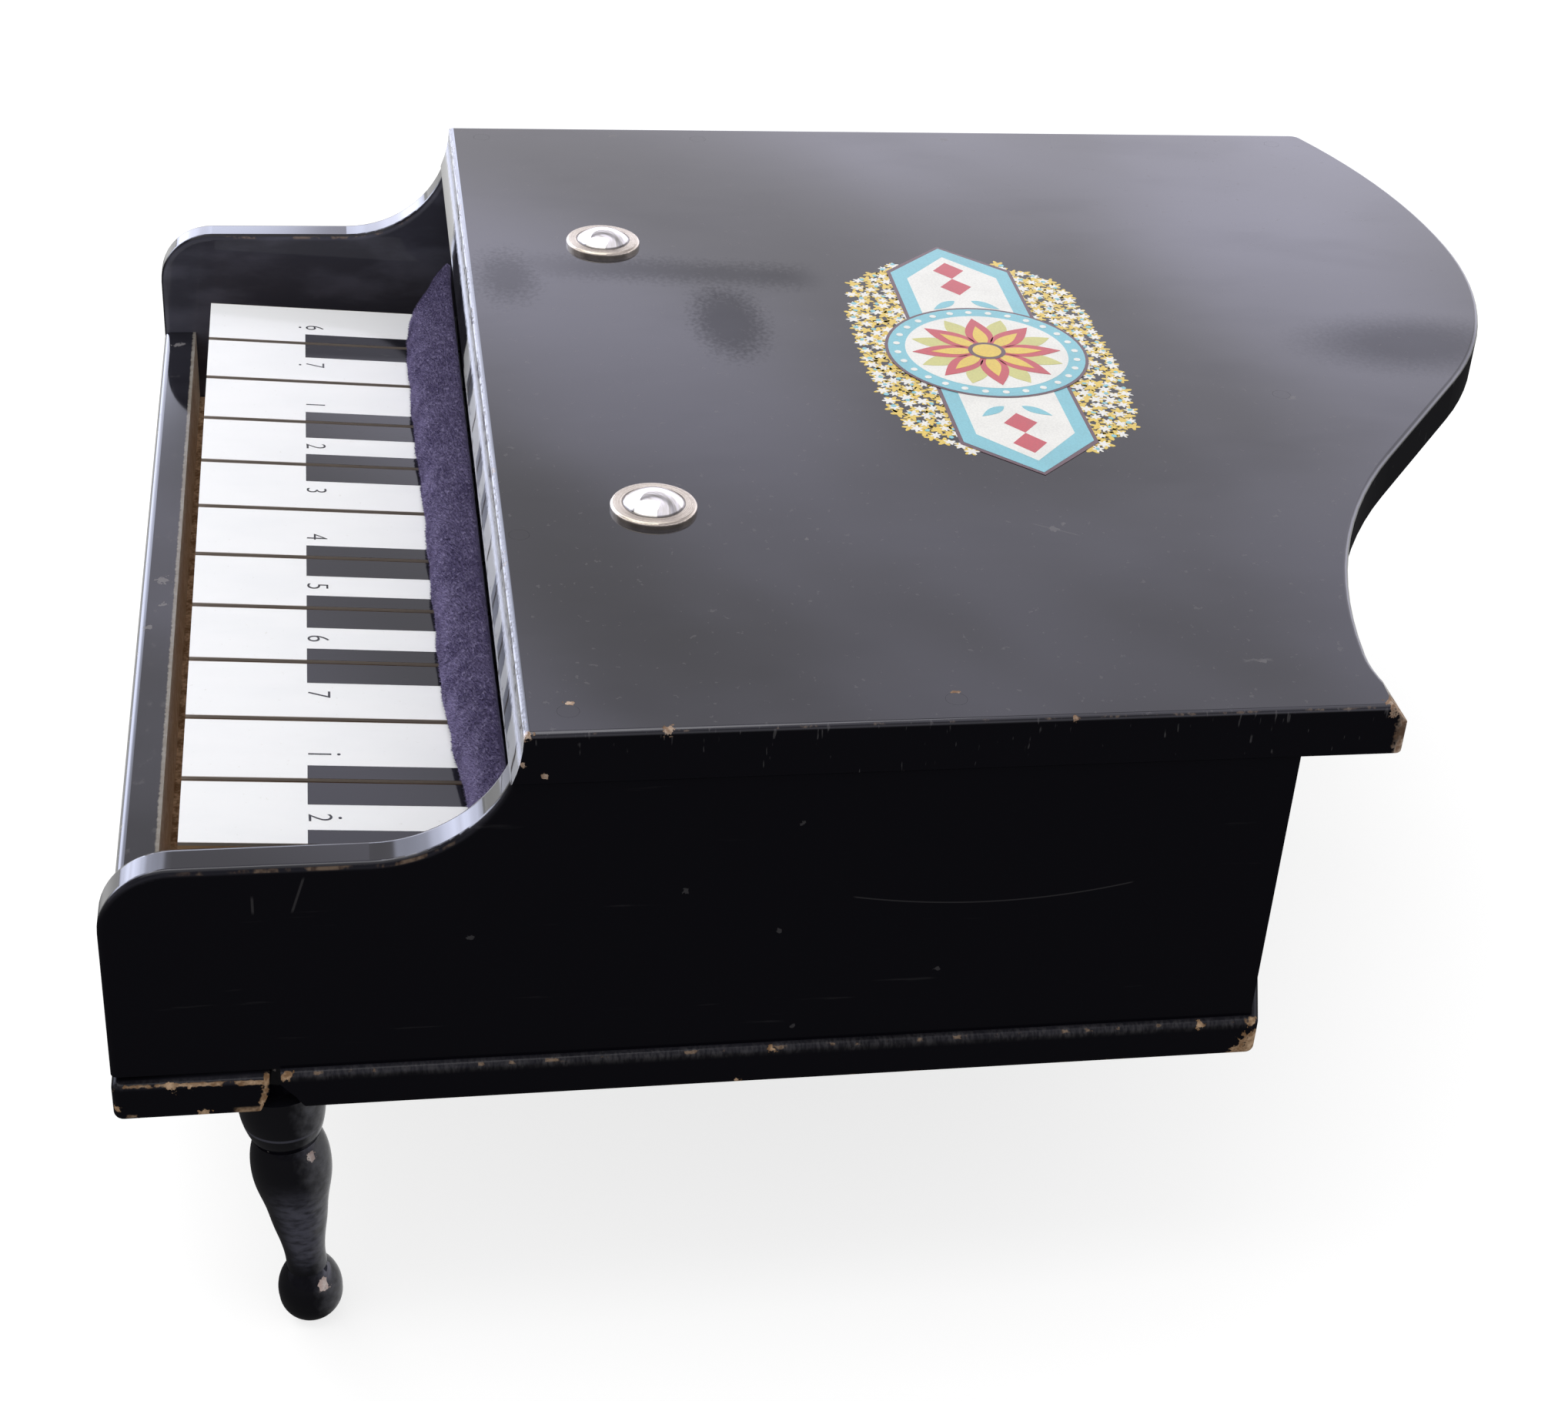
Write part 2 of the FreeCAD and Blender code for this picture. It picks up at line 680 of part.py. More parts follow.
def tone_rods():
    """Steel rods; a rod clamped at one end sounds higher with the square of its shortness."""
    rods = []
    treble_rod = back_y(key_centre(key_count - 1)) - back_wall - rod_end_gap - block_rear
    for index, note in enumerate(rod_notes):
        free = treble_rod * 2 ** ((rod_notes[-1] - note) / 24)
        start = Vector(key_centre(index), block_rear - rod_seat, rod_z)
        rods.append(Part.makeCylinder(rod_radius, rod_seat + free, start, Vector(0, 1, 0)))
    return Part.makeCompound(rods)


# Save every piece in the part's own frame
def save(name, shape):
    placed = shape.copy()
    placed.translate(Vector(0, -overall_depth / 2, 0))
    placed.exportStep("parts/" + name + ".step")


def main():
    os.makedirs("parts", exist_ok=True)
    base = bottom_board()
    save("bottom_board", base)
    save("bass_side_panel", side_panel(-1))
    save("treble_side_panel", side_panel(1))
    save("back_panel", back_panel())
    save("lid", lid_board())
    save("name_board", name_board_piece())
    save("key_slip", key_slip())
    save("velvet_strip", velvet_strip())
    for name, place in leg_places().items():
        save(name, leg(place).cut(base))
    save("lid_nails", Part.makeCompound([nail(x, y, lid_top, -1, 0) for x, y in lid_nail_places()]))
    save("base_nails", Part.makeCompound([nail(x, y, board_low, 1, 0) for x, y in base_nail_places()]))
    save("lid_bolts", lid_bolts())
    save("tone_block", tone_block())
    save("tone_rods", tone_rods())
    save("bass_action_bracket", action_bracket(-1))
    save("treble_action_bracket", action_bracket(1))
    save("key_axle", bar_x(pivot_y, pivot_z, key_axle_radius, -half_inner, half_inner))
    save("hammer_axle", bar_x(hammer_setback, hammer_z, hammer_axle_radius, -half_inner, half_inner))
    bore = key_axle_radius + press_clearance
    save("key_spacers", spacers(pivot_y, pivot_z, key_spacer_radius, bore, key_width))
    bore = hammer_axle_radius + press_clearance
    save("hammer_spacers", spacers(hammer_setback, hammer_z, hammer_spacer_radius, bore, hammer_width))
    for name, pair in (("key_rest", rest_rail()), ("key_stop", stop_rail())):
        save(name + "_rail", pair[0])
        save(name + "_felt", pair[1])
    for index in range(key_count):
        number = "_%02d" % (index + 1)
        save("key_lever" + number, key_lever(index))
        save("key_top" + number, key_top(index))
        save("hammer" + number, hammer(index))
    print("overall", case_width + 2 * board_lip, overall_depth, lid_top + bolt_dome_height)
    print("key axle", pivot_y - overall_depth / 2, pivot_z)
    print("hammer axle", hammer_setback - overall_depth / 2, hammer_z)


main()
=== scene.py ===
# %% [markdown]
# # A toy grand piano
# The real thing is a small wooden toy: black lacquer over solid wood, white keys with printed numbers, a velvet strip
# over the keys and two bright bolts on the lid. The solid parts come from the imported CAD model, which stays as it is.
# This script dresses it: finishes, printing, cloth, light and a camera.

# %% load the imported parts
import math
from functools import reduce

import bmesh
import bpy
from mathutils import Matrix, Vector


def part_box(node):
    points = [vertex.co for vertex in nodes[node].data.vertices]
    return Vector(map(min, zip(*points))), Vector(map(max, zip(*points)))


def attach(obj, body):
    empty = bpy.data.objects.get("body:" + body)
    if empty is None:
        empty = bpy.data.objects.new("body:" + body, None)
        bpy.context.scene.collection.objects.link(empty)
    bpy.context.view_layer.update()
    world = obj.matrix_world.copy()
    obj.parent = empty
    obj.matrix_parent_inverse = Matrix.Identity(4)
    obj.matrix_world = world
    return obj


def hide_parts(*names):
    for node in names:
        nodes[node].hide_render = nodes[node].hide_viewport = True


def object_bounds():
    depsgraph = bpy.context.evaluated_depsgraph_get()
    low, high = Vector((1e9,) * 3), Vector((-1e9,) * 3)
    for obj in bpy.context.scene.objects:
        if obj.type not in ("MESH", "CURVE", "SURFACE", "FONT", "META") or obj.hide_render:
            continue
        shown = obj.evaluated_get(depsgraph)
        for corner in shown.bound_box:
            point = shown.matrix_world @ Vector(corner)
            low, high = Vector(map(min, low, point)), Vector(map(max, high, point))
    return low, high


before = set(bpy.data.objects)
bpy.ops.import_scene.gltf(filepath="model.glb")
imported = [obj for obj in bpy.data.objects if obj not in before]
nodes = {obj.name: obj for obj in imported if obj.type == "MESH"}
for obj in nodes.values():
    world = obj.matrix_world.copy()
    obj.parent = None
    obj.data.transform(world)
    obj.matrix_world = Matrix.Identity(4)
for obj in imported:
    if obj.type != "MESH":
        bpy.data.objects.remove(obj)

cad_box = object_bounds()
MM = 0.001


def sides_of(box):
    """Lengths of a box's sides in millimetres."""
    return [round((high - low) / MM, 1) for low, high in zip(*box)]


print(len(nodes), "CAD nodes in", sides_of(cad_box), "mm")

# %% [markdown]
# ## The camera
# A camera can be guessed by eye, or worked out from the picture. Here the straight edges of the case were followed
# back to their vanishing points, which gives the place, the turn and the lens. The picture is a crop of a larger
# frame, so the lens is shifted a little.

# %% camera
SENSOR_WIDTH = 36.0
FOCAL_LENGTH = 62.0427
LENS_SHIFT = (-0.061053, 0.00286)
NEAREST_SEEN = 0.01
CAMERA_PLACE = (0.37317, -0.0804, 0.28241)
CAMERA_TURN = (57.20394, -4.49813, 79.80309)


def put(name, data):
    """Puts a new object into the scene."""
    item = bpy.data.objects.new(name, data)
    bpy.context.scene.collection.objects.link(item)
    return item


lens = bpy.data.cameras.new("camera")
lens.sensor_width = SENSOR_WIDTH
lens.lens = FOCAL_LENGTH
lens.shift_x, lens.shift_y = LENS_SHIFT
lens.clip_start = NEAREST_SEEN
camera = put("camera", lens)
camera.location = CAMERA_PLACE
camera.rotation_euler = [math.radians(turn) for turn in CAMERA_TURN]
bpy.context.scene.camera = camera
bpy.context.scene.view_settings.view_transform = "Standard"
print("camera at", [round(v, 3) for v in camera.location])

# %% [markdown]
# ## Sums with sockets
# A finish is a graph of nodes, and most of the graph is arithmetic: distances to an edge, limits, products of masks.
# Wiring Math nodes by hand is hard to read, so a small class wraps a socket, and each operator adds its own node.


# %% a socket that can be added and multiplied
class Signal:
    """One number that varies over a surface; arithmetic on it adds Math nodes."""

    def __init__(self, graph, socket):
        self.graph, self.socket = graph, socket

    def calc(self, operation, *terms):
        node = self.graph.node("Math", {"operation": operation}, dict(enumerate(terms)))
        return Signal(self.graph, node.outputs[0])

    def __add__(self, other):
        return self.calc("ADD", self, other)

    def __sub__(self, other):
        return self.calc("SUBTRACT", self, other)

    def __rsub__(self, other):
        return self.calc("SUBTRACT", other, self)

    def __mul__(self, other):
        return self.calc("MULTIPLY", self, other)

    def __pow__(self, other):
        return self.calc("POWER", self, other)

    def __abs__(self):
        return self.calc("ABSOLUTE", self)

    __radd__ = __add__
    __rmul__ = __mul__

    def most(self, other):
        return self.calc("MAXIMUM", self, other)

    def least(self, other):
        return self.calc("MINIMUM", self, other)

    def wrap(self, length):
        """Starts again from 0 after each length."""
        return self.calc("WRAP", self, length, 0.0)

    def ramp(self, low, high):
        """Smooth step from 0 at low to 1 at high; low may be above high."""
        node = self.graph.node("MapRange", {"interpolation_type": "SMOOTHSTEP"},
                               {"Value": self, "From Min": low, "From Max": high})
        return Signal(self.graph, node.outputs[0])


print("sums ready")


# %% a graph of nodes
class Graph:
    """A node tree with one method for every kind of node."""

    family = "ShaderNode"

    def __init__(self, tree):
        self.tree = tree

    def join(self, slot, item):
        item = item.socket if isinstance(item, Signal) else item
        if isinstance(item, bpy.types.NodeSocket):
            self.tree.links.new(item, slot)
        elif slot.type == "RGBA" and len(item) == 3:
            slot.default_value = (*item, 1.0)
        else:
            slot.default_value = item

    def node(self, kind, settings=None, sockets=None):
        node = self.tree.nodes.new(self.family + kind)
        for key, value in (settings or {}).items():
            setattr(node, key, value)
        for key, item in (sockets or {}).items():
            self.join(node.inputs[key], item)
        return node

    def signal(self, socket):
        return Signal(self, socket)

    def parts(self, vector):
        """The three numbers of a vector."""
        return [self.signal(socket) for socket in self.node("SeparateXYZ", {}, {0: vector}).outputs]

    def mix(self, mask, a, b):
        """Colour a where the mask is 0 and colour b where it is 1."""
        return self.node("Mix", {"data_type": "RGBA"}, {0: mask, 6: a, 7: b}).outputs[2]

    def rays(self, *kinds):
        """Mask of rays of these kinds."""
        path = self.node("LightPath").outputs
        return reduce(Signal.most, [self.signal(path["Is %s Ray" % kind]) for kind in kinds])


print("graphs ready")


# %% a material with places in millimetres
class Finish(Graph):
    """A Principled material whose patterns are laid out in millimetres on the object's own coordinates."""

    def __init__(self, name, **fixed):
        self.material = bpy.data.materials.new(name)
        self.material.use_nodes = True
        super().__init__(self.material.node_tree)
        self.shader = self.tree.nodes["Principled BSDF"]
        self.feed(**fixed)
        place = self.node("TexCoord").outputs["Object"]
        self.where = self.node("VectorMath", {"operation": "SCALE"}, {0: place, "Scale": 1 / MM}).outputs[0]
        self.x, self.y, self.z = self.parts(self.where)
        self.nx, self.ny, self.nz = self.parts(self.node("NewGeometry").outputs["Normal"])
        self.rag = self.noise(1.5, shift=11.0, detail=4.0) - 0.5
        self.grit = self.noise(0.33, shift=5.0, detail=5.0)

    def feed(self, **links):
        for key, item in links.items():
            self.join(self.shader.inputs[key.replace("_", " ")], item)

    def noise(self, scale, stretch=(1, 1, 1), shift=0.0, detail=3.0):
        """Soft random pattern, about 0.3 to 0.7; scale is in patches for each millimetre."""
        spread = [scale * s for s in stretch]
        vector = self.node("VectorMath", {"operation": "MULTIPLY_ADD"},
                           {0: self.where, 1: spread, 2: (shift, shift, shift)}).outputs[0]
        return self.signal(self.node("TexNoise", {}, {"Vector": vector, "Scale": 1.0, "Detail": detail}).outputs[0])

    def bump(self, height, depth):
        """Relief of the given depth in millimetres."""
        node = self.node("Bump", {}, {"Height": height, "Distance": depth * MM})
        self.feed(Normal=node.outputs[0])

    def upward(self):
        """Mask of what looks up."""
        return self.nz.ramp(0.15, 0.6)

    def spot(self, centre, radius):
        """Ragged round mark about a point."""
        far = self.node("VectorMath", {"operation": "DISTANCE"}, {0: self.where, 1: centre}).outputs["Value"]
        return (self.signal(far) + self.rag * (3.6 * radius)).ramp(radius * 1.05, radius * 0.8)

    def spots(self, marks):
        """Several such marks, each given by its place and radius."""
        return reduce(Signal.most, [self.spot((x, y, z), radius) for x, y, z, radius in marks])

    def flecks(self, across, width, limit):
        """Ragged flecks near an edge, where across is the distance from it; a higher limit leaves fewer."""
        return self.grit.ramp(limit, limit + 0.05) * (across + self.rag * (1.6 * width)).ramp(width, width * 0.6)

    def line(self, a, b, along, start, end, half):
        """Thin straight mark where a and b agree, between two places."""
        return abs(a - b).ramp(half * 1.4, half * 0.5) * along.ramp(start, start + 0.8) * along.ramp(end, end - 0.8)


print("helpers ready")

# %% [markdown]
# ## Light
# Black lacquer has almost no colour of its own: it shows what it mirrors. So the surroundings matter more than the
# lamps. The sky is white to the camera. In mirror reflections it is bright near the horizon, darker higher up and
# brighter again at the zenith, with soft clouds and one soft bright pane behind the object. For plain lighting it is
# a calm grey. Two large lamps give the object a soft side. The one at the side isn't mirrored, because its hard edges
# would show in the lacquer, and the pane stands for it.

# %% clouds
SKY_TINT, CLOUD_TINT = (0.97, 0.95, 1.03), (0.95, 0.935, 1.12)
world = bpy.data.worlds.new("studio")
bpy.context.scene.world = world
world.use_nodes = True
sky = Graph(world.node_tree)
toward, across, rise = sky.parts(sky.node("TexCoord").outputs["Generated"])
drift = sky.node("CombineXYZ", {}, {0: across * 3.4, 1: (rise - across * 0.4) * 12.0, 2: rise * 2.0})
cloud = sky.node("TexNoise", {}, {"Vector": drift.outputs[0], "Scale": 1.0, "Detail": 3.0})
cloud = sky.signal(cloud.outputs[0]).ramp(0.34, 0.66)
hazy = sky.mix(cloud, SKY_TINT, CLOUD_TINT)
print("clouds made")

# %% sky
PLAIN_SKY = 0.6
DARKEST, SHOULDER, HORIZON, ZENITH = 0.5, 0.5, 0.9, 0.7
BEHIND_CAMERA = 0.5
PANE, PANE_LOW = 2.9, 3.0
PANE_TINT = (0.95, 1.0, 1.25)
WHITE = (1.0, 1.0, 1.0)
mirrored = DARKEST + rise.ramp(0.72, 0.55) * SHOULDER + rise.ramp(0.5, 0.3) * HORIZON
mirrored = mirrored + rise.ramp(0.74, 0.86) * ZENITH
mirrored = mirrored * (0.74 + cloud * 0.46) * (1 - toward.ramp(0.1, 0.4) * BEHIND_CAMERA)
pane = (across + rise - 0.4).ramp(0.03, -0.05) * across.ramp(0.03, -0.02)
pane = pane * toward.ramp(-0.2, -0.5) * toward.ramp(-0.965, -0.925) * (0.75 + cloud * 0.35)
bright = pane * (PANE + rise.ramp(0.5, 0.25) * PANE_LOW) * (0.5 + rise.ramp(-0.05, 0.2) * 0.5)
seen, gloss = sky.rays("Camera", "Transmission"), sky.rays("Glossy")
back = world.node_tree.nodes["Background"]
sky.join(back.inputs["Color"], sky.mix(gloss, WHITE, sky.mix(pane, hazy, PANE_TINT)))
sky.join(back.inputs["Strength"], seen + gloss * mirrored.most(bright) + (1 - seen.most(gloss)) * PLAIN_SKY)
print("sky made, plain level", PLAIN_SKY)


# %% lamps
def soft_lamp(name, place, aim, size, power):
    """Rectangular lamp that the camera doesn't see."""
    lamp = bpy.data.lights.new(name, "AREA")
    lamp.shape = "RECTANGLE"
    lamp.size, lamp.size_y = size
    lamp.energy = power
    item = put(name, lamp)
    item.location = place
    item.rotation_euler = (Vector(aim) - Vector(place)).to_track_quat("-Z", "Y").to_euler()
    item.visible_camera = False
    return item


middle = (cad_box[0] + cad_box[1]) / 2
soft_lamp("overhead_lamp", place=(-0.1, -0.35, 1.3), aim=middle, size=(1.2, 1.2), power=7.3)
window = soft_lamp("window_lamp", place=(-1.6, -0.8, 0.43), aim=(0.0, -0.8, 0.43), size=(1.5, 0.78), power=13.0)
window.visible_glossy = False
print("two lamps")

# %% floor
FLOOR_REACH = 4.0
FLOOR_GREY, FLOOR_SHOWN, UNLIT = (0.42, 0.42, 0.42), (0.75, 0.75, 0.75), (0.0, 0.0, 0.0)
floor_mesh = bpy.data.meshes.new("floor")
corners = [(x * FLOOR_REACH, y * FLOOR_REACH, 0) for x, y in ((-1, -1), (1, -1), (1, 1), (-1, 1))]
floor_mesh.from_pydata(corners, [], [(0, 1, 2, 3)])
floor = put("floor", floor_mesh)
paper = Finish("white_paper", Base_Color=FLOOR_GREY, Roughness=0.9, Specular_IOR_Level=0.0, Emission_Strength=1.0)
paper.feed(Emission_Color=paper.mix(paper.rays("Camera", "Glossy", "Transmission"), UNLIT, FLOOR_SHOWN))
floor_mesh.materials.append(paper.material)
print("floor", 2 * FLOOR_REACH, "m wide")

# %% [markdown]
# ## Black lacquer
# The case was dipped or brushed with thick black lacquer. It shines where hands and cloths polish it, on the surfaces
# that look up, and is duller on the upright ones. Edges and corners are knocked through to pale wood. A photograph of
# such paint could be mapped on, but masks made from places in millimetres stay sharp from any distance.

# %% lacquer over wood
BLACK, HAZE_AND_SHEEN_BLACK, SCUFFED_BLACK = (0.0043, 0.004, 0.0062), (0.098, 0.098, 0.13), (0.22, 0.21, 0.22)
CASE_WOOD = ((0.13, 0.066, 0.032), (0.6, 0.42, 0.28))
DULL = 0.02
RELIEF = 0.09


def shining(mask, dull=DULL):
    """Gloss that goes from dull to full as the mask goes from 0 to 1."""
    return dull + mask * (1.0 - dull)


def lacquer(name, bare=None, upright_gloss=DULL, haze=0.12, dents=None, gloss=None, dust=None, wood=CASE_WOOD,
            over=None):
    """Black lacquer; bare, dents, gloss and dust take the finish and give masks of worn, dull, shining and dusty
    places, where the dust masks of the legs and the bass side's inner face also carry painted sheen, wood gives the
    dark and the pale tone of what shows where it is worn, and over lays a second film on it."""
    f = Finish(name, Specular_IOR_Level=0.0, Coat_IOR=1.64, Coat_Roughness=0.06)
    cloudy = f.noise(0.035, (1.0, 0.45, 1.0), shift=3.0)
    film = f.upward() * cloudy.ramp(0.3, 0.75) * haze
    # the dust masks of the legs and the bass side's inner face also carry painted sheen and a painted highlight
    film = film.most(dust(f)) if dust else film
    paint = f.mix(film, BLACK, HAZE_AND_SHEEN_BLACK)
    shine = gloss(f) if gloss else shining(f.upward(), upright_gloss)
    relief = f.rag * 0.1 + cloudy * 0.7
    if dents:
        mark = dents(f)
        paint = f.mix(mark, paint, SCUFFED_BLACK)
        shine = shine * (1 - mark * 0.7)
        relief = relief - mark * 0.8
    if bare:
        worn = bare(f)
        paint = f.mix(worn, paint, f.mix((f.rag + f.grit).ramp(0.3, 0.75), *wood))
        shine = shine * (1 - worn)
        relief = relief - worn * 1.2
        f.feed(Roughness=0.4 + worn * 0.35)
    else:
        f.feed(Roughness=0.42 + f.rag * 0.2)
    f.feed(Base_Color=paint, Coat_Weight=shine)
    f.bump(relief, RELIEF)
    if over:
        over(f, paint)
    return f.material


def wear(node_name, material):
    """Gives a CAD node its finish."""
    mesh = nodes[node_name].data
    mesh.materials.clear()
    mesh.materials.append(material)


def edge_gap(a, a_edge, b, b_edge):
    """Distance from an edge line that runs along the third axis."""
    return ((a - a_edge) ** 2.0 + (b - b_edge) ** 2.0) ** 0.5


print("lacquer ready")

# %% [markdown]
# ### The lid
# The lid's treble edge is the one that gets knocked, so most flecks lie there, and its rear corner is worn to bare
# wood. Nail heads under the lacquer, a few old bumps and wipe marks show as small changes on top. Along the front face
# the lacquer ran and set in a rounded film, so a second, shining layer is mixed over the first one there.

# %% lid wear
LID_TOP, LID_EDGE, LID_FRONT, LID_REAR = 99.5, 99.65, -60.4, 54.2
LID_CHIPS = ((99.3, -42.8, 99.3, 0.75), (92.9, -54.5, LID_TOP, 0.6), (93.4, -5.6, LID_TOP, 0.7),
             (99.5, 8.6, 99.2, 0.45), (99.3, -60.0, 99.2, 0.7), (99.6, -60.6, 95.2, 0.45), (99.6, -57.8, 93.4, 0.4))
LID_CROWN = ((98.6, 51.4, 99.2), 1.3)
LID_BUMPS = ((53.3, -18.5, 0.35), (51.9, 17.1, 0.7), (50.4, 18.8, 0.4), (87.9, 37.0, 0.5), (11.8, 65.0, 0.7),
             (-95.5, 30.6, 0.8), (-96.0, -31.0, 0.7))


def lid_bare(f):
    edge = f.flecks(edge_gap(f.x, LID_EDGE, f.z, LID_TOP), 0.4, 0.54) * 0.3
    front = f.flecks(edge_gap(f.y, LID_FRONT, f.z, LID_TOP), 0.6, 0.62) * 0.4
    corner = f.y.ramp(49.4, 50.6) * f.x.ramp(92.0, 96.5)
    bevel = (f.ny * f.nz).ramp(0.12, 0.3) * corner
    rim = (edge_gap(f.x, LID_EDGE, f.y, LID_REAR) + f.rag * 2.0).ramp(2.5, 1.6)
    rear = bevel.most(rim).most(f.spot(*LID_CROWN)) * (0.55 + f.grit.ramp(0.35, 0.5) * 0.45)
    return edge.most(front).most(f.spots(LID_CHIPS)).most(rear).least(1.0)


def lid_dents(f):
    marks = f.spots((x, y, LID_TOP, radius) for x, y, radius in LID_BUMPS)
    scratch = f.line(f.x - 41.6, f.y * 0.6, f.y, 14.0, 20.5, 0.14)
    scratch = scratch.most(f.line(f.x + f.rag * 1.6, 87.6, f.y, 34.0, 38.5, 0.3))
    dust = f.noise(0.9, shift=2.0, detail=2.0).ramp(0.69, 0.74) * 0.5
    ticks = f.noise(1.1, (1.0, 1.6, 0.3), shift=7.0, detail=2.0)
    high = (ticks + f.z.ramp(96.6, 99.4) * 0.07).ramp(0.7, 0.77) * f.z.ramp(96.0, 99.0)
    ticks = ticks.ramp(0.7, 0.77).most(high) * f.nx.ramp(0.3, 0.6) * 0.5
    return (marks.most(scratch * 0.6).most(dust) * f.nz.ramp(0.5, 0.9)).most(ticks) * 0.45


print("lid wear:", len(LID_CHIPS), "chips and", len(LID_BUMPS), "bumps")

# %% lid gloss
FILM_LOW, FILM_HIGH = 94.3, 95.6
FILM_TILT = math.radians(32.0)
CHIP_WOOD = ((0.24, 0.15, 0.1), (0.64, 0.5, 0.4))


def lid_front(f, low, high):
    """Mask of the front face; low and high say how squarely a place has to look forward."""
    return (0 - f.ny).ramp(low, high) * f.y.ramp(-58.5, -59.5)


def lid_gloss(f):
    smudge = (edge_gap(f.x * 0.55, -9.2, f.y * 1.25, -25.0) + f.rag * 9.0).ramp(9.5, 3.5) * 0.42
    thumb = (edge_gap(f.x * 0.5, -17.0, f.y, -54.0) + f.rag * 8.0).ramp(7.0, 1.5) * 0.3
    stroke = abs(f.x + 33.0 - f.y * 0.12) + f.rag * 9.0
    stroke = stroke.ramp(7.0, 0.5) * f.y.ramp(-62.0, -30.0) * f.y.ramp(-1.0, -9.0) * 0.3
    wiped = f.noise(0.07, (1.0, 0.4, 1.0), shift=6.0, detail=3.0)
    tip = (edge_gap(f.x, -7.0, f.y * 0.55, 50.6) + f.rag * 5.0).ramp(14.0, 3.0) * 0.4
    film = 1.0 - smudge.most(thumb).most(stroke).most(tip) - wiped.ramp(0.45, 0.75) * 0.07
    return shining(f.upward().most(lid_front(f, 0.6, 0.9)) * film)


def front_film(f, paint):
    """Runs of lacquer along the upper half of the front face, rounded so that they look up and catch the light."""
    run = f.node("Bump", {}, {"Height": f.z * -math.tan(FILM_TILT) + f.rag * 0.05, "Distance": MM})
    film = f.node("BsdfPrincipled", {}, {"Base Color": paint, "Roughness": 0.16, "IOR": 2.0, "Normal": run.outputs[0]})
    scuffed = (f.grit + f.rag).ramp(0.5, 0.6) * f.z.ramp(96.4, 97.4)
    front = lid_front(f, 0.3, 0.6) * (f.z + f.rag * 1.2).ramp(FILM_LOW, FILM_HIGH)
    both = f.node("MixShader", {}, {0: front * (1 - scuffed * 0.7), 1: f.shader.outputs[0], 2: film.outputs[0]})
    f.join(f.tree.nodes["Material Output"].inputs["Surface"], both.outputs[0])


wear("lid", lacquer("lid_lacquer", bare=lid_bare, haze=0.16, dents=lid_dents, gloss=lid_gloss, wood=CHIP_WOOD,
                    over=front_film))
print("lid finished")

# %% [markdown]
# ### Sides, base, slip and legs
# The sides are the dullest faces, with a long hair scratch and a few bumps. The bass side's inner face is lightened by
# dust and by a painted sheen, and shines a little. The base board is split at the treble leg. Its upper edge is brushed
# dull, and bare wood shows along its edges and at its corners. The slip in front of the keys is bare behind, and that
# wood is painted paler than it is, as painted light in the deep gap behind the slip.

# %% side finishes
SIDE = 99.2
SIDE_BUMPS = ((-5.6, 59.8, 0.4), (-27.3, 67.4, 0.35), (-39.7, 74.4, 0.45), (-66.9, 68.7, 0.5), (-25.1, 84.4, 0.35),
              (-24.4, 51.2, 0.35))


def side_dents(f):
    marks = f.spots((SIDE, y, z, radius) for y, z, radius in SIDE_BUMPS)
    hair = f.line(f.z - 70.6, f.y * f.y * 0.0055, f.y, -18.0, 20.0, 0.1)
    short = f.line(f.y, -93.6, f.z, 73.6, 76.8, 0.16).most(f.line(f.y, f.z * 0.3 - 111.0, f.z, 73.6, 79.4, 0.16))
    scuffs = f.noise(0.4, (1.0, 0.1, 1.6), shift=2.0, detail=4.0).ramp(0.68, 0.74) * 0.2
    outside = f.x.ramp(98.6, 99.0)
    return (marks * 0.18).most(hair * 0.12).most(short * 0.14).most(scuffs * 0.25) * outside


def arm_bare(f):
    rounding = abs(f.nx).ramp(0.55, 0.75) * f.nz.ramp(0.3, 0.5)
    return f.grit.ramp(0.5, 0.58) * rounding * f.y.ramp(-66.0, -72.0) * f.y.ramp(-104.0, -98.0) * 0.22


def arm_gloss(f):
    return shining(f.upward() * (1 - abs(f.nx).ramp(0.15, 0.45) * 0.85))


# dust smears plus a painted sheen: the whole inner face, which looks towards the treble side, is lightened
def inner_dust_and_sheen(f):
    smears = f.noise(0.1, (1.0, 0.6, 1.6), shift=2.0, detail=5.0)
    return f.nx.ramp(0.5, 0.9) * (0.52 + smears.ramp(0.42, 0.72) * 0.48)


def inner_gloss(f):
    return arm_gloss(f).most(DULL + f.nx.ramp(0.5, 0.9) * 0.2)


wear("treble_side_panel", lacquer("treble_lacquer", bare=arm_bare, dents=side_dents, gloss=arm_gloss))
wear("bass_side_panel", lacquer("bass_lacquer", bare=arm_bare, gloss=inner_gloss, dust=inner_dust_and_sheen))
wear("back_panel", lacquer("back_lacquer", upright_gloss=0.08))
wear("name_board", lacquer("name_board_lacquer", upright_gloss=0.5))
print("sides finished")

# %% base board
BOARD_EDGE, BOARD_TOP, BOARD_LOW, BOARD_REAR, BOARD_FRONT = 100.4, 48.7, 42.6, 40.2, -112.4
BOARD_SPLIT = -92.9
BOARD_CHIPS = ((100.3, 40.0, 45.3, 1.5), (100.2, 32.2, 48.3, 0.7), (100.3, 38.4, 43.3, 1.2),
               (100.3, -27.2, 48.3, 0.6), (100.4, -31.7, 43.4, 0.6), (100.0, -101.0, 42.4, 0.9),
               (100.2, -90.4, 48.3, 0.7), (100.0, -104.6, 46.9, 0.5), (100.2, -105.3, 47.8, 0.55),
               (100.2, -102.6, 47.4, 0.4), (100.2, -112.2, 44.0, 0.6))
BOARD_WOOD = ((0.24, 0.14, 0.075), (0.62, 0.43, 0.28))


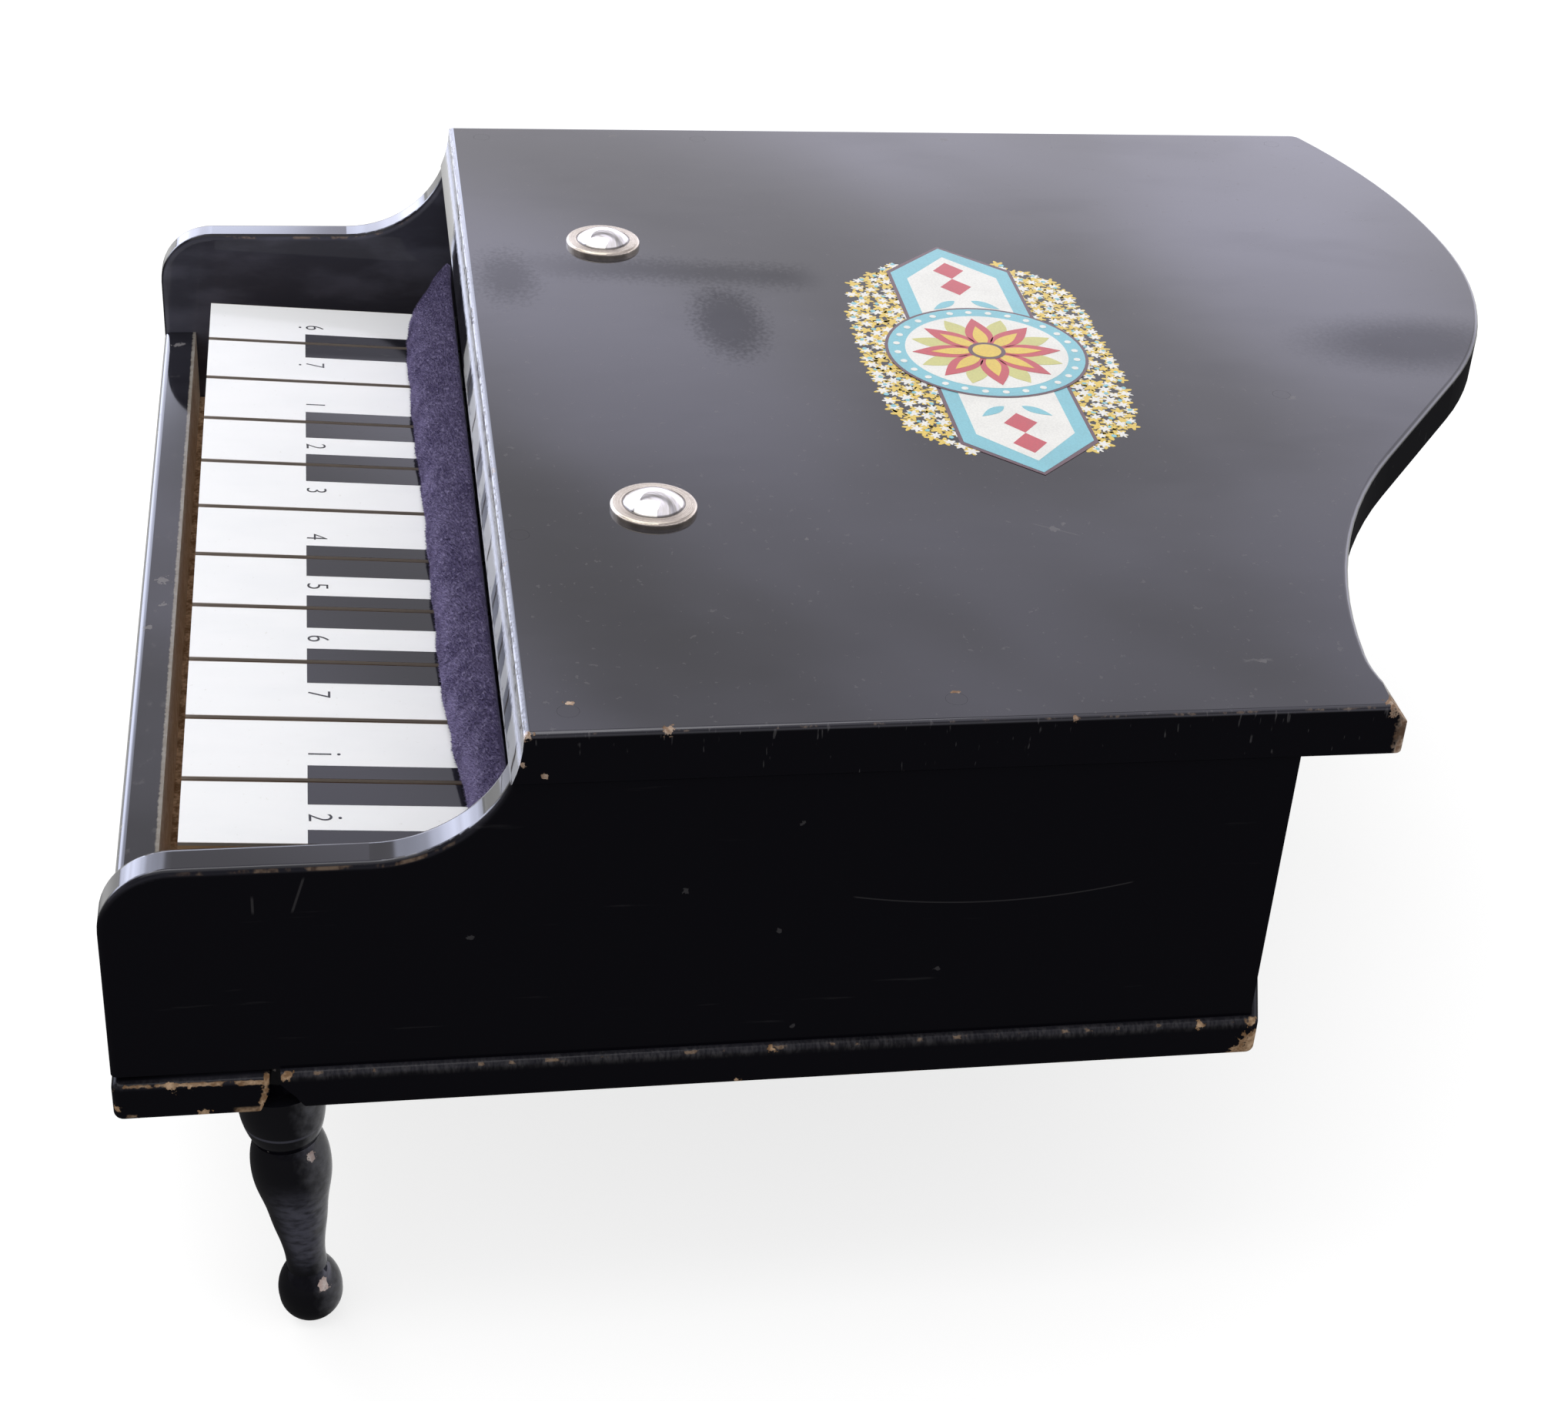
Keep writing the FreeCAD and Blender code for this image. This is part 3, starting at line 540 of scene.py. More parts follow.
def board_bare(f):
    rounded = BOARD_EDGE - 0.2
    top = f.flecks(edge_gap(f.x, rounded, f.z, BOARD_TOP - 0.2), 0.34, 0.56) * 0.35
    low = f.flecks(edge_gap(f.x, rounded, f.z, BOARD_LOW + 0.2), 0.4, 0.58) * 0.5
    dropped = f.flecks(edge_gap(f.x, rounded, f.z + f.y * 0.03, 44.6), 0.36, 0.42) * f.y.ramp(-92.0, -93.4) * 0.85
    rear = f.flecks(edge_gap(f.x, BOARD_EDGE, f.y, BOARD_REAR), 1.6, 0.46)
    front = f.flecks(edge_gap(f.x, rounded, f.y, BOARD_FRONT), 0.5, 0.5) * 0.6
    slit = (abs(f.y - BOARD_SPLIT + (BOARD_TOP - f.z) * 0.16) + f.rag * 1.8).ramp(0.5, 0.2) * f.x.ramp(98.6, 99.4)
    lip = f.y.ramp(-97.6, -96.6) * f.y.ramp(-92.4, -93.4) * f.z.ramp(43.5, 42.9) * 0.6
    inside = abs(f.x).ramp(93.4, 93.0) * f.y.ramp(-107.2, -107.0) * f.y.ramp(-20.0, -30.0)
    inside = inside * f.nz.ramp(0.5, 0.9) * f.z.ramp(46.5, 48.0)
    worn = reduce(Signal.most, (top, low, dropped, rear, front, f.spots(BOARD_CHIPS), slit, lip, inside))
    return worn.least(1.0)


def board_dents(f):
    top = edge_gap(f.x, BOARD_EDGE - 0.3, f.z, BOARD_TOP - 0.3)
    brushed = f.noise(2.4, (0.5, 1.0, 0.3), shift=9.0, detail=4.0).ramp(0.36, 0.66)
    return top.ramp(1.3, 0.1) * (0.2 + brushed * 0.8) * (f.grit - 0.2).most(0.05) * 0.6


def board_gloss(f):
    return DULL + f.nz.ramp(0.4, 0.95) * 0.14


wear("bottom_board", lacquer("base_lacquer", bare=board_bare, haze=0.2, dents=board_dents, gloss=board_gloss,
                             wood=BOARD_WOOD))
print("base finished,", len(BOARD_CHIPS), "chips")

# %% slip
SLIP_TOP, SLIP_FRONT = 61.7, -112.5
SLIP_MARKS = ((-3.8, -109.3, 1.0), (10.2, -111.0, 0.8), (3.5, -108.8, 0.6), (-88.5, -109.8, 0.9))
# painted light: the bare wood behind the slip is made paler than it is, to stand in for light the deep gap keeps out
SLIP_WOOD_PAINTED_LIGHT = ((0.76, 0.67, 0.56), (0.95, 0.89, 0.8))


def slip_bare(f):
    arris = (f.y + f.rag * 0.5).ramp(-107.55, -107.3) * 0.3
    behind = f.ny.ramp(0.4, 0.8)
    nicks = f.flecks(edge_gap(f.y, SLIP_FRONT, f.z, SLIP_TOP), 0.6, 0.58)
    return arris.most(behind).most(nicks * 0.4).least(1.0)


def slip_dents(f):
    marks = f.spots((x, y, SLIP_TOP, radius) for x, y, radius in SLIP_MARKS)
    scuffs = f.noise(0.35, (1.0, 1.4, 1.0), shift=5.0, detail=5.0).ramp(0.6, 0.74) * 0.2
    return (marks * 0.8).most(scuffs) * f.nz.ramp(0.3, 0.8)


wear("key_slip", lacquer("slip_lacquer", bare=slip_bare, upright_gloss=0.1, haze=0.2, dents=slip_dents,
                         wood=SLIP_WOOD_PAINTED_LIGHT))
print("slip finished")

# %% [markdown]
# The legs were turned on a lathe. A fine pale ring below the collar is a painted highlight on its rim. Their lacquer is
# dull in front, where small feet kick it, and still shines behind, where its colour is also lightened as a painted
# sheen. It is rubbed grey lower down. Two chips show pale wood, toned near white as a painted glint.

# %% leg finish
# height of the painted highlight ring below the collar
LEG_HIGHLIGHT_RING = 36.2
# pale wood for the chips, its pale tone near white as a painted glint
LEG_WOOD_AND_GLINT = ((0.66, 0.5, 0.46), (0.96, 0.86, 0.82))


def leg_bare(f):
    worn = f.spot((97.2, -87.1, 7.6), 0.8).most(f.spot((97.9, -88.0, 31.9), 0.75) * 0.75)
    return worn.most(f.grit.ramp(0.7, 0.74) * 0.5)


def leg_behind(f):
    brushed = f.noise(0.8, (1.0, 1.0, 0.8), shift=2.0, detail=5.0)
    return (f.ny * 0.75 + f.nz * 0.25 + (brushed - 0.5) * 0.5).ramp(0.12, 0.85)


def leg_gloss(f):
    return 0.05 + leg_behind(f) * 0.6 + f.nz.ramp(0.55, 0.8) * 0.2


# dust lower down, plus painted light: the side facing back is lightened as a painted sheen, and a thin ring is a
# painted highlight
def leg_dust_and_sheen(f):
    # painted highlight: a thin pale ring that stands for the light on the collar's rim
    ring = abs(f.z - LEG_HIGHLIGHT_RING).ramp(0.35, 0.1) * 0.8
    rubbed = f.noise(0.7, (0.7, 0.7, 1.6), shift=4.0, detail=5.0).ramp(0.3, 0.62)
    low = f.z.ramp(29.0, 21.0) * f.z.ramp(9.0, 13.5) * (f.nx * 0.6 + f.ny * 0.8).ramp(-0.3, 0.6)
    return (leg_behind(f) * (0.26 + rubbed * 0.4)).most(low * (0.25 + rubbed * 0.6)).most(ring * 0.7)


leg_finish = lacquer("leg_lacquer", bare=leg_bare, gloss=leg_gloss, dust=leg_dust_and_sheen, wood=LEG_WOOD_AND_GLINT)
for leg in ("bass_front_leg", "treble_front_leg", "rear_leg"):
    wear(leg, leg_finish)
print("legs finished")

# %% [markdown]
# ## Bare wood, metal and felt
# Most of the action hides inside the case, but the sides of the keys and the gaps between them show. The keys' front
# ends are painted white, and the narrow gaps between them are darkened as painted shade. These finishes follow the same
# pattern: a noise that is long in one direction makes grain, brushing or lint.

# %% plain finishes
GAP_SHADE, END_PAINT = (0.07, 0.042, 0.022), (0.84, 0.83, 0.8)
OUTER_KEYS = 81.0


def bare_wood(name, pale, dark, front=None):
    """Sanded wood; front is the place along Y in front of which the ends are painted white."""
    f = Finish(name)
    grain = f.noise(0.35, (3.0, 0.12, 3.0), detail=5.0)
    pores = f.noise(2.2, (2.0, 0.1, 2.0), shift=5.0, detail=2.0).ramp(0.62, 0.7)
    colour = f.mix(pores * 0.5, f.mix(grain.ramp(0.3, 0.7), dark, pale), dark)
    if front:
        # painted shade: the sides of the keys, down in the narrow gaps between them, are darkened
        between = abs(f.nx).ramp(0.5, 0.8) * abs(f.x).ramp(OUTER_KEYS, OUTER_KEYS - 1.0)
        colour = f.mix(between * 0.7, colour, GAP_SHADE)
        painted = (0 - f.ny).ramp(0.6, 0.8) * f.y.ramp(front, front - 0.2) * (1 - f.grit.ramp(0.66, 0.74) * 0.4)
        colour = f.mix(painted, colour, END_PAINT)
    f.feed(Base_Color=colour, Roughness=0.55 + grain * 0.25)
    f.bump(grain - pores * 0.5, 0.12)
    return f.material


def metal(name, colour, roughness, stretch):
    f = Finish(name, Metallic=1.0)
    lines = f.noise(1.5, stretch, detail=4.0)
    stain = f.noise(0.15, shift=4.0)
    f.feed(Base_Color=f.mix(stain.ramp(0.4, 0.8) * 0.35, colour, [c * 0.6 for c in colour]),
           Roughness=roughness + lines * 0.12)
    f.bump(lines, 0.02)
    return f.material


def felt(name, colour):
    f = Finish(name, Sheen_Weight=0.5, Sheen_Roughness=0.5)
    lint = f.noise(1.8, detail=6.0)
    f.feed(Base_Color=f.mix(lint.ramp(0.35, 0.65), [c * 0.6 for c in colour], colour), Roughness=0.85 + lint * 0.1)
    f.bump(lint, 0.3)
    return f.material


print("wood, metal and felt ready")

# %% inner parts
key_wood = bare_wood("key_wood", (0.62, 0.4, 0.22), (0.36, 0.2, 0.1), front=-102.6)
action_wood = bare_wood("action_wood", (0.55, 0.38, 0.22), (0.33, 0.2, 0.1))
steel = metal("drawn_steel", (0.56, 0.56, 0.57), 0.25, (0.1, 3.0, 3.0))
casting = metal("grey_casting", (0.2, 0.2, 0.21), 0.5, (1.0, 1.0, 1.0))
red_felt = felt("red_felt", (0.3, 0.04, 0.05))
nail_lacquer = lacquer("nail_lacquer", upright_gloss=0.1, haze=0.08)
INNER_PARTS = (
    (nail_lacquer, ("lid_nails",)),
    (steel, ("base_nails", "tone_rods", "key_axle", "hammer_axle")),
    (casting, ("tone_block",)),
    (action_wood, ("bass_action_bracket", "treble_action_bracket", "key_rest_rail", "key_stop_rail")),
    (red_felt, ("key_rest_felt", "key_stop_felt", "key_spacers", "hammer_spacers")))
for material, names in INNER_PARTS:
    for name in names:
        wear(name, material)
print("inner parts finished")

# %% [markdown]
# ## The two bolts
# Each bolt has a polished dome on a satin flange. Both are one turned piece of metal, so one material changes its
# roughness with the distance from the bolt's axis, and the fine rings of turning run round that axis.

# %% bolts
FLANGE_RADIUS = 6.1
DOME_RADIUS = 4.28
DOME_METAL, FLANGE_METAL = (0.74, 0.715, 0.665), (0.56, 0.5, 0.405)
BOLT_GRIME, SEAM_DIRT = (0.36, 0.31, 0.25), (0.08, 0.07, 0.06)
low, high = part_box("lid_bolts")
bolt = Finish("bolt_metal", Metallic=1.0)
to_left = edge_gap(bolt.x, low.x / MM + FLANGE_RADIUS, bolt.y, high.y / MM - FLANGE_RADIUS)
to_right = edge_gap(bolt.x, high.x / MM - FLANGE_RADIUS, bolt.y, low.y / MM + FLANGE_RADIUS)
out = to_left.least(to_right)
flange = out.ramp(DOME_RADIUS - 0.05, DOME_RADIUS + 0.1)
rings = bolt.node("TexNoise", {"noise_dimensions": "1D"}, {"W": out, "Scale": 6.0, "Detail": 3.0})
rings = bolt.signal(rings.outputs[0])
seam = abs(out - DOME_RADIUS).ramp(0.28, 0.08)
grime = bolt.noise(0.9, shift=3.0, detail=4.0).ramp(0.5, 0.75) * flange
colour = bolt.mix(grime * 0.3, bolt.mix(flange, DOME_METAL, FLANGE_METAL), BOLT_GRIME)
bolt.feed(Base_Color=bolt.mix(seam * 0.85, colour, SEAM_DIRT),
          Roughness=0.05 + flange * 0.13 + rings * flange * 0.07)
bolt.bump(rings * flange, 0.05)
wear("lid_bolts", bolt.material)
print("bolts lie from", [round(v / MM, 2) for v in low], "to", [round(v / MM, 2) for v in high])

# %% [markdown]
# ## The keys
# Each key is a wooden lever with a thin white cover. The printing on it, a number and black bars that make it look
# like a real keyboard, is ink on the cover: it is built as very thin shapes that ride with their own key, so that
# they press down with it. Numbers come from a text object that is turned into a mesh.

# %% key finishes
KEY_PITCH = 15.0
KEY_HALF = 7.0
cover = Finish("key_cover", Coat_Weight=0.35, Coat_Roughness=0.08)
blush = cover.noise(0.12, (1.0, 0.4, 1.0), shift=2.0)
specks = cover.noise(1.6, shift=5.0, detail=3.0).ramp(0.68, 0.76)
white = cover.mix(blush.ramp(0.35, 0.7), (0.95, 0.953, 0.96), (0.915, 0.922, 0.932))
white = cover.mix(specks * 0.25, white, (0.55, 0.52, 0.46))
to_edge = abs(abs((cover.x + KEY_PITCH / 2).wrap(KEY_PITCH) - KEY_PITCH / 2) - KEY_HALF)
# dirt along the covers' top edges, and painted shade on the covers' sides in the gaps between keys
edge_dirt_and_gap_shade = (to_edge.ramp(0.24, 0.0) * 0.5).most(abs(cover.nx).ramp(0.4, 0.8) * 0.75)
cover.feed(Base_Color=cover.mix(edge_dirt_and_gap_shade, white, (0.2, 0.13, 0.075)), Roughness=0.28 + blush * 0.15)
cover.bump(cover.noise(0.3, (1, 0.3, 1), shift=8.0), 0.05)
ink = Finish("printed_ink", Roughness=0.5, Specular_IOR_Level=0.0, Coat_IOR=1.54, Coat_Roughness=0.09)
worn_ink = ink.noise(1.3, (1.0, 0.3, 1.0), shift=3.0, detail=5.0).ramp(0.62, 0.78)
ink.feed(Base_Color=ink.mix(worn_ink * 0.5, (0.012, 0.012, 0.016), (0.08, 0.08, 0.085)),
         Coat_Weight=(1 - worn_ink * 0.35) * (0.3 + ink.x.ramp(-64.0, -58.0) * 0.7))
for name in nodes:
    if name.startswith("key_lever"):
        wear(name, key_wood)
    elif name.startswith("hammer_") and name[-1].isdigit():
        wear(name, action_wood)
    elif name.startswith("key_top"):
        wear(name, cover.material)
print("keys finished")


# %% flat shapes for printing
def slab(shape, outline, high):
    """Adds a thin closed slab over a flat outline to a bmesh."""
    top = [shape.verts.new((x, y, high)) for x, y in outline]
    bottom = [shape.verts.new((x, y, 0.0)) for x, y in outline]
    shape.faces.new(top)
    shape.faces.new(bottom[::-1])
    for i in range(len(outline)):
        j = (i + 1) % len(outline)
        shape.faces.new((top[i], bottom[i], bottom[j], top[j]))


def closed_mesh(name, shape):
    """Turns a bmesh into a plain mesh whose faces point outwards."""
    bmesh.ops.recalc_face_normals(shape, faces=shape.faces)
    mesh = bpy.data.meshes.new(name)
    shape.to_mesh(mesh)
    shape.free()
    return mesh


def plain_mesh(item):
    """Mesh of an object with its modifiers or its text worked out."""
    return bpy.data.meshes.new_from_object(item.evaluated_get(bpy.context.evaluated_depsgraph_get()))


def round_outline(radius, count=64):
    turns = [2 * math.pi * i / count for i in range(count)]
    return [(radius * math.cos(t), radius * math.sin(t)) for t in turns]


def moved(outline, x, y, turn=0.0):
    c, s = math.cos(turn), math.sin(turn)
    return [(x + a * c - b * s, y + a * s + b * c) for a, b in outline]


print("flat shapes ready")

# %% digits
DIGIT_THINNED = -0.012
DIGIT_NARROWED = 0.86


def digit_mesh(text, height):
    """Thin printed digit, narrow, centred on its own place and standing along Y."""
    curve = bpy.data.curves.new("digit", "FONT")
    curve.body = text
    curve.size = 1.0
    curve.offset = DIGIT_THINNED
    curve.extrude = 0.01
    item = put("digit", curve)
    mesh = plain_mesh(item)
    bpy.data.objects.remove(item)
    xs = [v.co.x for v in mesh.vertices]
    ys = [v.co.y for v in mesh.vertices]
    scale = height / (max(ys) - min(ys))
    for v in mesh.vertices:
        v.co = ((v.co.x - (min(xs) + max(xs)) / 2) * scale * DIGIT_NARROWED, (v.co.y - min(ys)) * scale, v.co.z)
    return mesh


print("digits ready, narrowed to", DIGIT_NARROWED)

# %% [markdown]
# The bars straddle the gaps where a real piano has its black keys, so a bar may cover a part of two keys. A key's
# print is laid out flat, in millimetres from the front edge of its cover, and then tilted as the key is.

# %% key printing
KEY_FRONT = -103.302
KEY_TOP = 72.9
KEY_TILT = math.radians(3.72)
MIDDLE_KEY = 5
BAR_START, BAR_END = 16.4, 42.0
BASS_BAR, TREBLE_BAR = 5.1, 3.1
BARRED_GAPS = (1, 3, 4, 6, 7, 8, 10, 11)
INK_HIGH = 0.03
DIGIT_START, DIGIT_HEIGHT, DIGIT_SHIFT = 16.5, 3.1, 1.1
DOT, DOT_GAP, DOT_SIDES = 0.24, 1.0, 12
NOTES = (("6", -1), ("7", -1), ("1", 0), ("2", 0), ("3", 0), ("4", 0), ("5", 0), ("6", 0), ("7", 0),
         ("1", 1), ("2", 1))
tilted = Matrix.Translation((0, KEY_FRONT * MM, KEY_TOP * MM)) @ Matrix.Rotation(-KEY_TILT, 4, "X")
tilted = tilted @ Matrix.Scale(MM, 4)


def bar(shape, left, right):
    """Black bar between two places along a key's width."""
    slab(shape, ((left, BAR_START), (right, BAR_START), (right, BAR_END), (left, BAR_END)), INK_HIGH)


for index, (text, octave) in enumerate(NOTES):
    centre = (index - MIDDLE_KEY) * KEY_PITCH
    shape = bmesh.new()
    if index in BARRED_GAPS:
        bar(shape, centre - KEY_HALF, centre - KEY_HALF + BASS_BAR)
    if index + 1 in BARRED_GAPS:
        bar(shape, centre + KEY_HALF - TREBLE_BAR, centre + KEY_HALF)
    digit = digit_mesh(text, DIGIT_HEIGHT)
    for v in digit.vertices:
        v.co = (v.co.x + centre + DIGIT_SHIFT, v.co.y + DIGIT_START, INK_HIGH if v.co.z > 0 else 0.0)
    shape.from_mesh(digit)
    if octave:
        dot_y = DIGIT_START + (DIGIT_HEIGHT + DOT_GAP if octave > 0 else -DOT_GAP)
        slab(shape, moved(round_outline(DOT, DOT_SIDES), centre + DIGIT_SHIFT, dot_y), INK_HIGH)
    bmesh.ops.transform(shape, matrix=tilted, verts=shape.verts)
    number = "%02d" % (index + 1)
    item = put("key_print_" + number, closed_mesh("key_print_" + number, shape))
    item.data.materials.append(ink.material)
    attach(item, "key_body_" + number)
print(len(NOTES), "keys printed")

# %% [markdown]
# ## The velvet strip
# A strip of violet velvet is glued along the name board, and the keys push its lower edge forward, so it bellies out
# and narrows towards its ends. Cloth simulation could drape it, but it is short, stiff and glued, so its few shapes
# are set directly: a curve down the strip and a table of how far it reaches forward. Velvet looks soft because of its
# nap, so short fibres are grown on it with Geometry Nodes.

# %% velvet finish
DEEP_VIOLET, VIOLET = (0.078, 0.063, 0.14), (0.185, 0.158, 0.29)
SHADED_VIOLET, PALE_VIOLET = (0.044, 0.035, 0.082), (0.29, 0.26, 0.41)
velvet = Finish("violet_velvet", Roughness=0.92, Sheen_Weight=0.55, Sheen_Roughness=0.35,
                Sheen_Tint=(0.62, 0.56, 0.95, 1.0), Specular_IOR_Level=0.1)
nap = velvet.noise(1.7, (1.0, 0.8, 0.8), detail=6.0)
brushed = velvet.noise(0.22, shift=4.0, detail=3.0)
shaded = velvet.z.ramp(73.8, 78.2)
tone = velvet.mix(brushed.ramp(0.35, 0.65), DEEP_VIOLET, VIOLET)
tone = velvet.mix(shaded * 0.66, tone, SHADED_VIOLET)
velvet.feed(Base_Color=velvet.mix(nap.ramp(0.48, 0.7) * (0.8 - shaded * 0.35), tone, PALE_VIOLET))
velvet.bump(nap, 0.12)
print("velvet finish made")

# %% velvet curve
STRIP_TOP = 79.35
STRIP_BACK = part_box("name_board")[0].y / MM - 0.1
STRIP_REACH = 8.0
STRIP_THICK = 0.9
STRIP_CLEAR = 0.75
STRIP_BELLY = 1.5
HALF_CASE_INNER = 93.7
REACH_SHARES = ((-0.905, 0.50), (-0.80, 0.89), (-0.70, 1.0), (-0.45, 0.99), (0.0, 0.89), (0.45, 0.85),
                (0.62, 0.75), (0.75, 0.60), (0.905, 0.40))


def reach_at(x):
    """How far the strip reaches forward at a place along X, as a share."""
    for (a, low), (b, high) in zip(REACH_SHARES, REACH_SHARES[1:]):
        if x <= b * HALF_CASE_INNER + 1e-6:
            t = (x / HALF_CASE_INNER - a) / (b - a)
            t = t * t * (3 - 2 * t)
            return low + (high - low) * t
    return REACH_SHARES[-1][1]


def ribbon_point(x, t):
    """Point of the strip's front face; t runs from its glued top to its lower edge."""
    ripple = 0.12 * math.sin(x * 0.41) + 0.06 * math.sin(x * 0.93 + 1.3)
    reach = STRIP_REACH * reach_at(x) + ripple
    front_y = STRIP_BACK - STRIP_THICK - reach
    low_z = KEY_TOP - math.tan(KEY_TILT) * (front_y - KEY_FRONT) + STRIP_CLEAR
    belly = STRIP_BELLY * reach / STRIP_REACH
    y = STRIP_BACK - STRIP_THICK - reach * t - belly * math.sin(math.pi * t) * 0.9
    z = STRIP_TOP + (low_z - STRIP_TOP) * t + belly * math.sin(math.pi * t) * 0.8 + 0.12 * ripple * t
    return Vector((x, y, z)) * MM


print("velvet is glued at", round(STRIP_BACK, 2), "mm along Y")

# %% velvet ribbon
ACROSS, DOWN = 170, 16
span = REACH_SHARES[-1][0] * HALF_CASE_INNER
row = DOWN + 1
points = [ribbon_point(-span + 2 * span * i / ACROSS, j / DOWN) for i in range(ACROSS + 1) for j in range(row)]
faces = [(i * row + j, i * row + j + 1, (i + 1) * row + j + 1, (i + 1) * row + j)
         for i in range(ACROSS) for j in range(DOWN)]
ribbon_mesh = bpy.data.meshes.new("velvet_ribbon")
ribbon_mesh.from_pydata(points, [], faces)
ribbon_mesh.polygons.foreach_set("use_smooth", [True] * len(faces))
ribbon_mesh.materials.append(velvet.material)
ribbon = put("velvet_ribbon", ribbon_mesh)
print("velvet strip", round(2 * span, 1), "mm long,", len(faces), "faces")


# %% growing things with Geometry Nodes
class Grower(Graph):
    """A Geometry Nodes tree with named inputs, applied to a host and returned as a plain mesh."""

    family = ""

    def __init__(self, name, **inputs):
        super().__init__(bpy.data.node_groups.new(name, "GeometryNodeTree"))
        self.keys = {}
        sockets = self.tree.interface
        sockets.new_socket("Geometry", in_out="INPUT", socket_type="NodeSocketGeometry")
        for label, kind in inputs.items():
            socket = sockets.new_socket(label, in_out="INPUT", socket_type="NodeSocket" + kind)
            self.keys[label] = socket.identifier
        sockets.new_socket("Geometry", in_out="OUTPUT", socket_type="NodeSocketGeometry")
        self.given = self.node("NodeGroupInput").outputs

    def close(self, instances):
        """Ends the tree in real geometry with its material."""
        real = self.node("GeometryNodeRealizeInstances", {}, {0: instances})
        dressed = self.node("GeometryNodeSetMaterial", {}, {0: real.outputs[0], "Material": self.given["Material"]})
        self.node("NodeGroupOutput", {}, {0: dressed.outputs[0]})

    def grow(self, host, name, **values):
        modifier = host.modifiers.new("grow", "NODES")
        modifier.node_group = self.tree
        for label, value in values.items():
            modifier[self.keys[label]] = value
        mesh = plain_mesh(host)
        host.modifiers.remove(modifier)
        mesh.name = name
        return mesh


print("growing ready")

# %% nap
fibres = Grower("velvet_nap", Density="Float", Length="Float", Width="Float", Lean="Float", Seed="Int",
                Material="Material")
given = fibres.given
scatter = fibres.node("GeometryNodeDistributePointsOnFaces", {},
                      {"Mesh": given["Geometry"], "Density": given["Density"], "Seed": given["Seed"]})
fibre = fibres.node("GeometryNodeMeshCone", {"fill_type": "NONE"},
                    {"Vertices": 3, "Radius Bottom": given["Width"], "Depth": given["Length"]})
less = fibres.node("ShaderNodeMath", {"operation": "MULTIPLY"}, {0: given["Lean"], 1: -1.0})
leans = fibres.node("FunctionNodeRandomValue", {"data_type": "FLOAT_VECTOR"},
                    {"Min": less.outputs[0], "Max": given["Lean"], "Seed": given["Seed"]})
turned = fibres.node("FunctionNodeRotateRotation", {"rotation_space": "LOCAL"},
                     {0: scatter.outputs["Rotation"], 1: leans.outputs["Value"]})
planted = fibres.node("GeometryNodeInstanceOnPoints", {},
                      {"Points": scatter.outputs["Points"], "Instance": fibre.outputs["Mesh"],
                       "Rotation": turned.outputs[0]})
fibres.close(planted.outputs[0])
nap_mesh = fibres.grow(ribbon, "velvet_nap", Density=1.4e7, Length=0.34 * MM, Width=0.05 * MM, Lean=0.45, Seed=4,
                       Material=velvet.material)
nap_piece = put("velvet_nap", nap_mesh)
print("nap of", len(nap_mesh.polygons), "faces")

# %% velvet wall
wall = ribbon.modifiers.new("wall", "SOLIDIFY")
wall.thickness = STRIP_THICK * MM
wall.offset = -1.0
thick = plain_mesh(ribbon)
ribbon.modifiers.clear()
ribbon.data = thick
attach(ribbon, "case")
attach(nap_piece, "case")
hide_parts("velvet_strip")
print("velvet", STRIP_THICK, "mm thick,", len(thick.polygons), "faces")

# %% [markdown]
# ## The transfer on the lid
# The lid carries a small bright transfer. This one is a plain folk rosette: a long lozenge with a flower in a ring,
# and florets strewn along both long sides. Every colour is a thin layer of ink on the lacquer. What repeats round the
# middle and what is strewn beside it are placed by two small Geometry Nodes trees.

# %% transfer inks
INKS = {"cream": (0.88, 0.87, 0.82), "turquoise": (0.2, 0.55, 0.64), "red": (0.55, 0.035, 0.05),
        "gold": (0.8, 0.56, 0.04), "maroon": (0.07, 0.012, 0.02), "leaf": (0.62, 0.6, 0.18)}


def transfer_ink(name, colour):
    f = Finish(name, Coat_Weight=0.5, Coat_Roughness=0.12)
    print_grain = f.noise(3.0, detail=4.0)
    fade = f.noise(0.15, shift=6.0)
    dull = [c * 0.82 + 0.015 for c in colour]
    f.feed(Base_Color=f.mix(print_grain.ramp(0.35, 0.65) * 0.6 + fade.ramp(0.4, 0.7) * 0.4, colour, dull),
           Roughness=0.3 + print_grain * 0.2)
    return f.material


inks = {label: transfer_ink("transfer_" + label, colour) for label, colour in INKS.items()}
print(len(inks), "inks")


# %% transfer shapes
def petal_outline(length, width, count=10):
    """Pointed leaf along X that starts at the origin."""
    upper = [(length * i / count, width / 2 * math.sin(math.pi * (i / count) ** 0.8)) for i in range(count + 1)]
    return upper + [(x, -y) for x, y in upper[-2:0:-1]]


def lozenge(half_x, half_y, shoulder):
    lower = [(-half_x, 0), (-shoulder, -half_y), (shoulder, -half_y)]
    return lower + [(-x, -y) for x, y in lower]


def floret_outline(radius, lobes, count=30):
    """Small round flower with lobes."""
    turns = [2 * math.pi * i / count for i in range(count)]
    return [(radius * (0.72 + 0.28 * math.cos(lobes * t)) * math.cos(t),
             radius * (0.72 + 0.28 * math.cos(lobes * t)) * math.sin(t)) for t in turns]


print("transfer shapes ready")

# %% layers of ink
TRANSFER_MIDDLE = Vector((-5.0, 19.5, LID_TOP))
ON_LID = Matrix.Translation(TRANSFER_MIDDLE * MM) @ Matrix.Scale(MM, 4)
LAYER = 0.018
laid = []


def next_layer(label):
    """Name and height of the next layer of ink."""
    laid.append(label)
    return "transfer_%s_%d" % (label, len(laid)), LAYER * len(laid)


def slab_mesh(name, outlines, high):
    """Plain mesh of thin slabs over flat outlines."""
    shape = bmesh.new()
    for outline in outlines:
        slab(shape, outline, high)
    return closed_mesh(name, shape)


